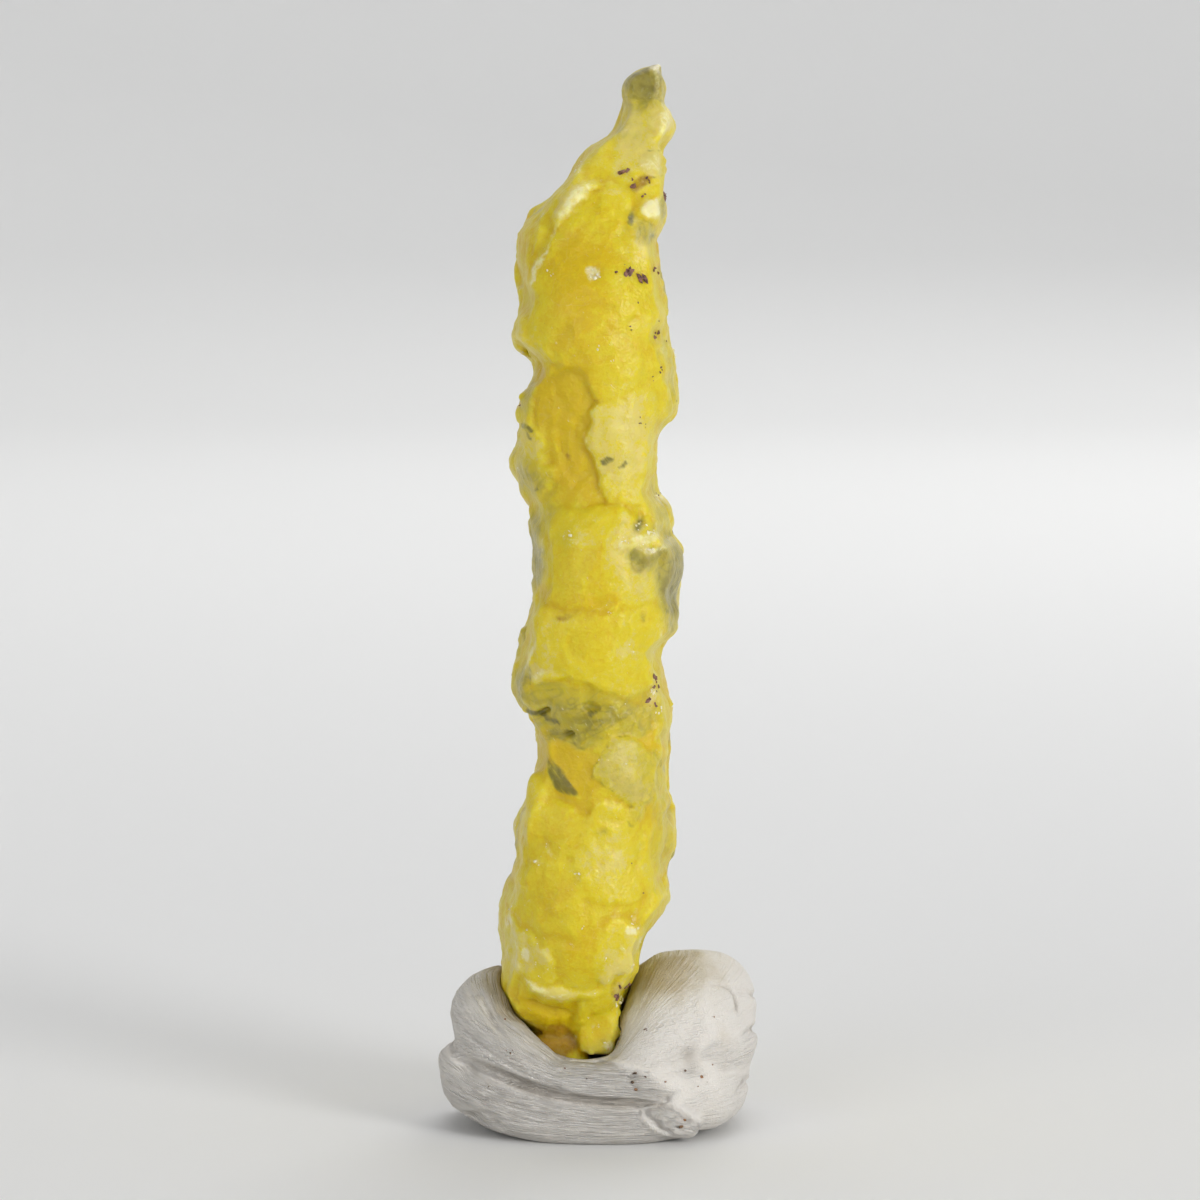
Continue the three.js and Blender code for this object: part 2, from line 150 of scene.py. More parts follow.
class Field:
    """Distances to a surface on a regular grid, negative inside."""

    def __init__(self, node):
        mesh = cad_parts[node].data
        mesh.calc_loop_triangles()
        points = read_all(mesh.vertices, "co", np.float32) / MM
        grid = openvdb.FloatGrid.createLevelSetFromPolygons(
            points,
            triangles=read_all(mesh.loop_triangles, "vertices", np.int32),
            transform=openvdb.createLinearTransform(VOXEL),
            halfWidth=BAND / VOXEL,
        )
        self.start = np.floor((points.min(0) - ROOM) / VOXEL).astype(int)
        end = np.ceil((points.max(0) + ROOM) / VOXEL).astype(int)
        self.values = np.empty(end - self.start + 1, np.float32)
        grid.copyToArray(self.values, ijk=tuple(int(i) for i in self.start))

    def axes(self, first, last):
        """The X, Y and Z of the grid's points from first to last."""
        axes = [(np.arange(a, b) + s) * VOXEL for a, b, s in zip(first, last, self.start)]
        return np.meshgrid(*axes, indexing="ij", sparse=True)

    def window(self, low, high):
        """The slices that hold a box, and the X, Y and Z of their points."""
        first = np.clip(np.floor(low / VOXEL).astype(int) - self.start, 0, None)
        last = np.minimum(np.ceil(high / VOXEL).astype(int) - self.start + 1, self.values.shape)
        return tuple(slice(a, b) for a, b in zip(first, last)), *self.axes(first, last)

    def join(self, shape, blend, sign):
        part, x, y, z = self.window(shape.low - blend, shape.high + blend)
        self.values[part] = sign * smooth_least(sign * self.values[part], shape.distance(x, y, z), blend)

    def grow(self, shape, blend):
        self.join(shape, blend, 1)

    def carve(self, shape, blend):
        self.join(shape, blend, -1)

    def read(self, points, values=None):
        return between(self.values if values is None else values, points / VOXEL - self.start)

    def slope(self, points, values):
        """How fast values rise along X, Y and Z at each point."""
        steps = 0.5 * np.eye(3)
        rises = [self.read(points + step, values) - self.read(points - step, values) for step in steps]
        return np.stack(rises, 1)

    def meet(self, start, inward, furthest=2 * AWAY):
        """Where a ray first meets the surface, or None."""
        steps = np.arange(0, furthest, VOXEL / 2)
        points = start + steps[:, None] * inward
        inside = self.read(points) < 0
        return points[np.argmax(inside)] if inside.any() else None

    def face(self, side, across, up, foot):
        """The surface's point, across and up from the foot, that shows on one side, or None."""
        right, inward = SIDES[side]
        return self.meet(foot + across * right + up * UP - AWAY * inward, inward)

    def skin(self):
        """The surface's points, in millimetres, and its four-sided faces, which look outwards."""
        grid = openvdb.FloatGrid(BAND)
        grid.copyFromArray(self.values, ijk=tuple(int(i) for i in self.start))
        grid.transform = openvdb.createLinearTransform(VOXEL)
        points, faces = grid.convertToQuads(isovalue=0)
        return points, faces[:, ::-1]


class Lobe:
    """An ellipsoid, or a flatter-faced form of one where power is above 2."""

    def __init__(self, centre, radii, turn=(0, 0, 0), power=2.0):
        self.centre, self.radii, self.power = centre, radii, power
        self.turn = np.array(Euler([math.radians(angle) for angle in turn]).to_matrix()).T
        self.low, self.high = centre - max(radii), centre + max(radii)

    def distance(self, x, y, z):
        offset = [x - self.centre[0], y - self.centre[1], z - self.centre[2]]
        n = self.power
        size = slope = 0
        for row, radius in zip(self.turn, self.radii):
            local = np.abs(sum(r * o for r, o in zip(row, offset))) / radius
            size = size + local**n
            slope = slope + (local ** (n - 1) / radius) ** 2
        size = np.maximum(size, 1e-6)
        return (size ** (1 / n) - 1) * size ** ((n - 1) / n) / np.maximum(np.sqrt(slope), 1e-6)


# ---- sides laid out flat ----

KINDS = ("tone", "green", "dark", "frost", "tan")  # what the specimen's material reads
BROAD_KINDS = ("green", "pale", "deep")  # patches of these are larger and softer
PLATE_DOME = 0.25  # how far a growth plate's middle stands above its edge
SOLID_FORM = 3.5  # forms of the solid that are wider than this stay as they are
MOST_EVENED = 1.8  # and no place is moved further than this


class Side:
    """One side of the specimen laid out flat: how far each place stands out, and how it looks."""

    def __init__(self, name, field, seed):
        self.right, self.inward = SIDES[name]
        self.axis = int(np.argmax(np.abs(self.right)))
        self.sign = self.right[self.axis]
        shape = (field.values.shape[self.axis], field.values.shape[2])
        middle = [STONE_MIDDLE[self.axis], STONE_LOW[2]]
        self.corner = field.start[[self.axis, 2]] * VOXEL - middle
        across = (self.corner[0] + np.arange(shape[0]) * VOXEL) * self.sign
        up = self.corner[1] + np.arange(shape[1]) * VOXEL
        across, up = np.meshgrid(across, up, indexing="ij")
        self.across = across + 0.42 * rough(shape, 1.6, seed) + 0.17 * rough(shape, 0.5, seed + 1)
        self.up = up + 0.42 * rough(shape, 1.6, seed + 2) + 0.17 * rough(shape, 0.5, seed + 3)
        self.softness = np.clip(np.exp(0.85 * rough(shape, 2.2, seed + 4)), 0.4, 1.7)
        self.swell = 0.2 * rough(shape, 2.6, seed + 5) + 0.07 * rough(shape, 0.9, seed + 6)
        self.maps = {kind: np.zeros(shape) for kind in ("relief", "pale", "deep", *KINDS)}
        self.middle = middle

    def near(self, low, high):
        """The part of the maps that holds a box of across and up, and the across and up there."""
        ends = [(np.array(end) * [self.sign, 1] - self.corner) / VOXEL for end in (low, high)]
        first, last = np.clip(np.sort(ends, axis=0), 0, self.up.shape).astype(int)
        part = (slice(first[0], last[0] + 2), slice(first[1], last[1] + 2))
        return part, self.across[part], self.up[part]

    def lay(self, outline, level, tone, rim, green, line=0.0):
        """Lays a growth plate over what is there: a low dome whose edge is crisp here and soft there, with a
        pale rim, a deeper tone beyond it (painted shade, and thicker crystal), and perhaps a thin dark line
        round it."""
        outline = rounded(np.array(outline))
        part, across, up = self.near(outline.min(0) - 3, outline.max(0) + 3)
        beyond, soft = beyond_outline(outline, across, up), self.softness[part]
        cover = ease(beyond / soft, 0.1, -0.25)
        height = level + PLATE_DOME * (1 - np.exp(np.minimum(beyond, 0) / 0.9))
        # painted shade: a deeper tone just beyond the plate's edge, where it overlaps what lies below, and
        # thicker crystal there
        self.maps["tone"][part] += 0.25 / soft * np.exp(-(((beyond - 0.3) / 0.35) ** 2))
        for kind, value in (("relief", height), ("tone", tone), ("green", green)):
            self.maps[kind][part] += cover * (value - self.maps[kind][part])
        edge = rim / np.maximum(soft, 1) ** 2 * np.exp(-(((beyond + 0.15) / 0.2) ** 2))
        self.maps["frost"][part] = np.maximum(self.maps["frost"][part] * (1 - cover), edge)
        if line:
            self.mark("dark", part, line * np.exp(-((beyond / 0.2) ** 2)))

    def mark(self, kind, part, values):
        """Marks a part of one kind's map, wherever it isn't marked more strongly already."""
        self.maps[kind][part] = np.maximum(self.maps[kind][part], values)

    def blot(self, kind, across, up, half_width, half_height, lean, strength):
        """Marks an oval patch of one kind, soft at its edge."""
        reach = max(half_width, half_height) * 1.5 + 1
        part, u, v = self.near((across - reach, up - reach), (across + reach, up + reach))
        u, v, lean = u - across, v - up, math.radians(lean)
        beside = (u * math.cos(lean) - v * math.sin(lean)) / half_width
        along = (u * math.sin(lean) + v * math.cos(lean)) / half_height
        start, end = (1.4, 0.4) if kind in BROAD_KINDS else (1.2, 0.65)
        self.mark(kind, part, strength * ease(np.hypot(beside, along), start, end))

    def strew(self, chance, count, low, high, depth=0.05, sizes=(0.5, 1.5)):
        """Scatters small angular chips, each a little higher or lower, paler or deeper, than its place."""
        for _ in range(count):
            centre = chance.uniform(low, high)
            size, lean = chance.uniform(*sizes), math.radians(chance.uniform(-70, 10))
            around = np.sort(chance.uniform(0, 2 * math.pi, 6))
            chip = np.stack([0.55 * np.cos(around), np.sin(around)], 1) * size
            turn = np.array([[math.cos(lean), math.sin(lean)], [-math.sin(lean), math.cos(lean)]])
            outline = centre + chip @ turn
            part, across, up = self.near(outline.min(0) - 1, outline.max(0) + 1)
            beyond = beyond_outline(outline, across, up)
            cover = ease(beyond, 0.08, -0.16)
            inside = cover * ease(-beyond, -0.1, 0.6 * size)
            self.maps["relief"][part] += cover * chance.uniform(-depth, depth)
            self.maps["tone"][part] += (1.4 * inside + 0.3 * (beyond < 0)) * chance.uniform(-0.3, 0.15)

    def facet(self, size, step, tilt, seed):
        """Breaks the side into flat facets of about one size, each at its own level and with its own tilt."""
        chance = np.random.default_rng(seed)
        low = np.array([self.across.min(), self.up.min()])
        high = np.array([self.across.max(), self.up.max()])
        nearest = np.full(self.up.shape, np.inf)
        height, shade = np.zeros(self.up.shape), np.zeros(self.up.shape)
        for _ in range(int(np.prod(high - low) / size**2)):
            centre = chance.uniform(low, high)
            lean, level = chance.normal(0, tilt, 2), chance.uniform(-1, 1)
            part, across, up = self.near(centre - 2.2 * size, centre + 2.2 * size)
            across, up = across - centre[0], up - centre[1]
            away = np.hypot(across, 0.75 * up)
            nearer = away < nearest[part]
            nearest[part] = np.where(nearer, away, nearest[part])
            height[part] = np.where(nearer, step * level + lean[0] * across + lean[1] * up, height[part])
            shade[part] = np.where(nearer, level, shade[part])
        self.maps["relief"] += height
        self.maps["tone"] -= 0.07 * shade

    def settle(self):
        """Lets the shades run into one another a little, as what lies deeper shows through."""
        maps = self.maps
        maps["tone"] += 0.8 * (maps["deep"] - maps["pale"])
        for kind, share, sigma in (("tone", 0.25, 0.9), ("green", 0.35, 0.9)):
            maps[kind] += share * (spread(maps[kind], sigma) - maps[kind])

    def evened(self, values, share):
        """The relief that evens out, by a share, what the solid does here, so that the plates shape it."""
        depth_axis = 1 - self.axis
        solid = np.moveaxis(values < 0, depth_axis, 2)
        if self.inward[depth_axis] < 0:
            solid = solid[:, :, ::-1]
        there = solid.any(2)
        depth = np.argmax(solid, 2) * VOXEL
        weight = np.maximum(spread(there.astype(float), SOLID_FORM), 1e-3)
        even = spread(np.where(there, depth, 0.0), SOLID_FORM) / weight
        return np.where(there, np.clip(depth - even, -MOST_EVENED, MOST_EVENED) * share, 0)

    def stand_out(self, values):
        """The field's values with the surface on this side moved out by the relief."""
        depth_axis = 1 - self.axis
        values = np.moveaxis(values, depth_axis, 2)
        count = values.shape[2]
        ahead = self.inward[depth_axis]
        column = np.arange(count, dtype=np.float32)
        from_side = column if ahead > 0 else count - 1 - column
        hold = ease(from_side, count * 0.5 + 3, count * 0.5 - 3)
        moved = spread(self.maps["relief"], 0.18)[..., None] * (ahead / VOXEL) * hold + column
        moved = np.clip(moved, 0, count - 1.001)
        cell = moved.astype(int)
        part = (moved - cell).astype(np.float32)
        low, high = (np.take_along_axis(values, index, 2) for index in (cell, cell + 1))
        return np.ascontiguousarray(np.moveaxis(low * (1 - part) + high * part, 2, depth_axis))

    def spot(self, centre):
        """The place in space, as one row, for across and up on the side."""
        point = np.zeros((1, 3))
        point[0, [self.axis, 2]] = np.array(centre) * [self.sign, 1] + self.middle
        return point

    def read(self, kind, points):
        """What one kind's map says beside each point in space."""
        at = (points[:, [self.axis, 2]] - self.middle - self.corner) / VOXEL
        return between(self.maps[kind], at)


def curve(a, b, c, d, pieces):
    """Points along Catmull and Rom's curve from each b to its c, where a comes before them and d after."""
    steps = []
    for t in (piece / pieces for piece in range(pieces)):
        rounding = 2 * b + (c - a) * t + (2 * a - 5 * b + 4 * c - d) * t**2
        steps.append(0.5 * (rounding + (3 * b - a - 3 * c + d) * t**3))
    return np.stack(steps, 1).reshape(-1, b.shape[1])


def rounded(points):
    """A closed curve through the points."""
    before, after, beyond = (np.roll(points, shift, 0) for shift in (1, -1, -2))
    return curve(before, points, after, beyond, 4)


def smooth_path(points, pieces):
    """An open curve through the points."""
    points = np.array(points, float)
    padded = np.vstack([2 * points[0] - points[1], points, 2 * points[-1] - points[-2]])
    return np.vstack([curve(padded[:-3], padded[1:-2], padded[2:-1], padded[3:], pieces), points[-1]])


def beyond_outline(outline, across, up):
    """How far each place lies beyond a closed outline; less than 0 inside."""
    nearest = np.full(across.shape, np.inf)
    inside = np.zeros(across.shape, bool)
    for a, b in zip(outline, np.roll(outline, -1, 0)):
        edge = b - a
        u, v = across - a[0], up - a[1]
        share = np.clip((u * edge[0] + v * edge[1]) / (edge @ edge), 0, 1)
        nearest = np.minimum(nearest, np.hypot(u - share * edge[0], v - share * edge[1]))
        if edge[1]:
            inside ^= ((a[1] > up) != (b[1] > up)) & (u < v * edge[0] / edge[1])
    return np.where(inside, -nearest, nearest)


# ---- meshes ----

MOST_STONE_TRIANGLES = 190000
MOST_PUTTY_TRIANGLES = 110000


def read_all(items, name, kind=float):
    """One row of three numbers for each of a mesh's items."""
    values = np.empty(len(items) * 3, kind)
    items.foreach_get(name, values)
    return values.reshape(-1, 3)


def bodies(points, faces):
    """For each point, the number of the body it belongs to; bodies are not joined to one another."""
    body = np.arange(len(points))
    starts, ends = faces.ravel(), np.roll(faces, 1, 1).ravel()
    while True:
        least = body.copy()
        np.minimum.at(least, body[starts], body[ends])
        np.minimum.at(least, body[ends], body[starts])
        least = least[least[body]]
        if (least == body).all():
            return body
        body = least


def largest_body(points, faces):
    """The points and faces of the largest body alone."""
    body = bodies(points, faces)
    kept = body == np.bincount(body).argmax()
    number = np.cumsum(kept) - 1
    return points[kept], number[faces[kept[faces[:, 0]]]]


def drop_islands(field):
    """Carves away the small solid bodies that lie apart from the largest; hollows inside it are left."""
    points, faces = field.skin()
    body = bodies(points, faces)
    for number in set(body.tolist()) - {np.bincount(body).argmax()}:
        island = points[body == number]
        low, high = island.min(0), island.max(0)
        middle = (low + high) / 2
        a, b, c, d = (points[faces[body[faces[:, 0]] == number]] - middle).transpose(1, 0, 2)
        if (a * np.cross(c - a, d - b)).sum() > 0:
            field.carve(Lobe(middle, (high - low) / 2 + 0.4), 0.1)


def new_object(name, points, faces, smooth=True):
    """A mesh object from points in millimetres."""
    mesh = bpy.data.meshes.new(name)
    mesh.from_pydata((np.asarray(points) * MM).tolist(), [], [list(face) for face in faces])
    mesh.validate()
    mesh.update()
    if smooth:
        mesh.shade_smooth()
    return in_scene(name, mesh)


def in_scene(name, data):
    made = bpy.data.objects.new(name, data)
    bpy.context.scene.collection.objects.link(made)
    return made


def finish(made, look, node=None):
    """Gives a piece its material, and says what it is part of."""
    made.data.materials.append(look)
    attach(made, "root")
    if node:
        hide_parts(node)


def points_of(made):
    """A mesh's points in millimetres."""
    return read_all(made.data.vertices, "co") / MM


def push(made, amount):
    """Moves each point along its normal."""
    points = points_of(made) + amount[:, None] * read_all(made.data.vertex_normals, "vector")
    made.data.vertices.foreach_set("co", (points * MM).ravel())
    made.data.update()


def thin(made, most_triangles):
    """Takes triangles away, down to a number, where the surface is plain."""
    count = sum(len(face.vertices) - 2 for face in made.data.polygons)
    if count <= most_triangles:
        return
    modifier = made.modifiers.new("thin", "DECIMATE")
    modifier.ratio = most_triangles / count
    evaluated = made.evaluated_get(bpy.context.evaluated_depsgraph_get())
    mesh = bpy.data.meshes.new_from_object(evaluated)
    made.modifiers.clear()
    made.data = mesh
    mesh.shade_smooth()


def keep(made, name, values):
    """Stores one number for each point, for the material to read."""
    made.data.attributes.new(name, "FLOAT", "POINT").data.foreach_set("value", values.astype(np.float32))


def noise_at(points, size, seed):
    """Smooth noise from -1 to 1 whose lumps are about size millimetres across."""
    shift = Vector((17.3 * seed, 5.1 * seed, 11.7 * seed))
    return np.array([noise.noise(Vector(point) + shift) for point in (points / size).tolist()])


def lumps(points, size, seed):
    """Rounded lumps with narrow valleys between them, from 0 to about 1."""
    return np.abs(noise_at(points, size, seed)) * 1.6


# ---- node materials ----


class Wire:
    """A socket that can be used in sums."""

    def __init__(self, tree, socket):
        self.tree, self.socket = tree, socket

    def sum(self, operation, *others):
        return self.tree.node("ShaderNodeMath", {"operation": operation}, [self, *others])

    def __add__(self, other):
        return self.sum("ADD", other)

    def __sub__(self, other):
        return self.sum("SUBTRACT", other)

    def __mul__(self, other):
        return self.sum("MULTIPLY", other)

    def __rsub__(self, other):
        return self.tree.node("ShaderNodeMath", {"operation": "SUBTRACT"}, [other, self])

    __radd__, __rmul__ = __add__, __mul__

    def size(self):
        return self.sum("ABSOLUTE")

    def step(self, start, end):
        """0 before start, 1 after end, and smooth between."""
        kind = {"interpolation_type": "SMOOTHSTEP"}
        inputs = {"Value": self, "From Min": start, "From Max": end, "To Min": 0.0, "To Max": 1.0}
        return self.tree.node("ShaderNodeMapRange", kind, inputs)


class Look:
    """A material and its node tree."""

    def __init__(self, name):
        self.material = bpy.data.materials.new(name)
        self.material.use_nodes = True
        self.nodes = self.material.node_tree.nodes
        self.links = self.material.node_tree.links
        self.nodes.clear()

    def node(self, kind, settings=None, inputs=None, output=0):
        """Adds a node. Inputs are named, or in order, and are values or wires."""
        made = self.nodes.new(kind)
        for setting, value in (settings or {}).items():
            setattr(made, setting, value)
        named = inputs.items() if isinstance(inputs, dict) else enumerate(inputs or [])
        for key, value in named:
            if isinstance(value, Wire):
                self.links.new(value.socket, made.inputs[key])
            else:
                made.inputs[key].default_value = value
        return Wire(self, made.outputs[output])

    def kept(self, name):
        """A number that the mesh stores for each point."""
        return self.node("ShaderNodeAttribute", {"attribute_name": name}, output="Fac")

    def place(self):
        """Object coordinates in millimetres."""
        return self.scaled(self.node("ShaderNodeTexCoord", output="Object"), 1 / MM)

    def scaled(self, vector, factor):
        return self.node("ShaderNodeVectorMath", {"operation": "SCALE"}, {0: vector, "Scale": factor})

    def stretch(self, place, factors, lean):
        """The place leant over, in degrees, as seen from the front, then drawn out or pressed together."""
        inputs = {"Vector": place, "Angle": math.radians(lean)}
        leant = self.node("ShaderNodeVectorRotate", {"rotation_type": "Y_AXIS"}, inputs)
        return self.node("ShaderNodeVectorMath", {"operation": "MULTIPLY"}, [leant, factors])

    def noise(self, place, size, detail=2.0, roughness=0.5, distortion=0.0):
        inputs = {
            "Vector": place,
            "Scale": 1 / size,
            "Detail": detail,
            "Roughness": roughness,
            "Distortion": distortion,
        }
        return self.node("ShaderNodeTexNoise", {}, inputs, "Fac")

    def threads(self, place, size, roughness, distortion):
        """Thin wandering lines, about size apart."""
        return ((self.noise(place, size, 2.0, roughness, distortion) - 0.5).size() * 9).step(1.0, 0.0)

    def cells(self, place, size, feature="F1", output="Distance"):
        """Crystal-like cells: how far from a cell's middle or edge, or a number for each cell."""
        inputs = {"Vector": place, "Scale": 1 / size}
        return self.node("ShaderNodeTexVoronoi", {"feature": feature}, inputs, output)

    def bend(self, place, size, amount):
        """The place, shifted about by noise, so that cells laid on it aren't straight-sided."""
        inputs = {"Vector": place, "Scale": 1 / size, "Detail": 2.0}
        shift = self.scaled(self.node("ShaderNodeTexNoise", {}, inputs, "Color"), amount)
        return self.node("ShaderNodeVectorMath", {"operation": "ADD"}, [place, shift])

    def mix(self, share, first, second):
        """A colour from the first, at 0, to the second, at 1."""
        inputs = {"Factor": share, 6: colour(first), 7: colour(second)}
        return self.node("ShaderNodeMix", {"data_type": "RGBA"}, inputs, 2)

    def bump(self, height, distance, strength=1.0):
        inputs = {"Height": height, "Distance": distance * MM, "Strength": strength}
        return self.node("ShaderNodeBump", {}, inputs)

    def principled(self, inputs):
        return self.node("ShaderNodeBsdfPrincipled", {"subsurface_method": "RANDOM_WALK"}, inputs)

    def finish(self, surface):
        """The finished material, with this shader as its surface."""
        output = self.nodes.new("ShaderNodeOutputMaterial")
        self.links.new(surface.socket, output.inputs["Surface"])
        return self.material


def colour(value):
    return value if isinstance(value, Wire) else (*value, 1.0)


# ---- the specimen ----

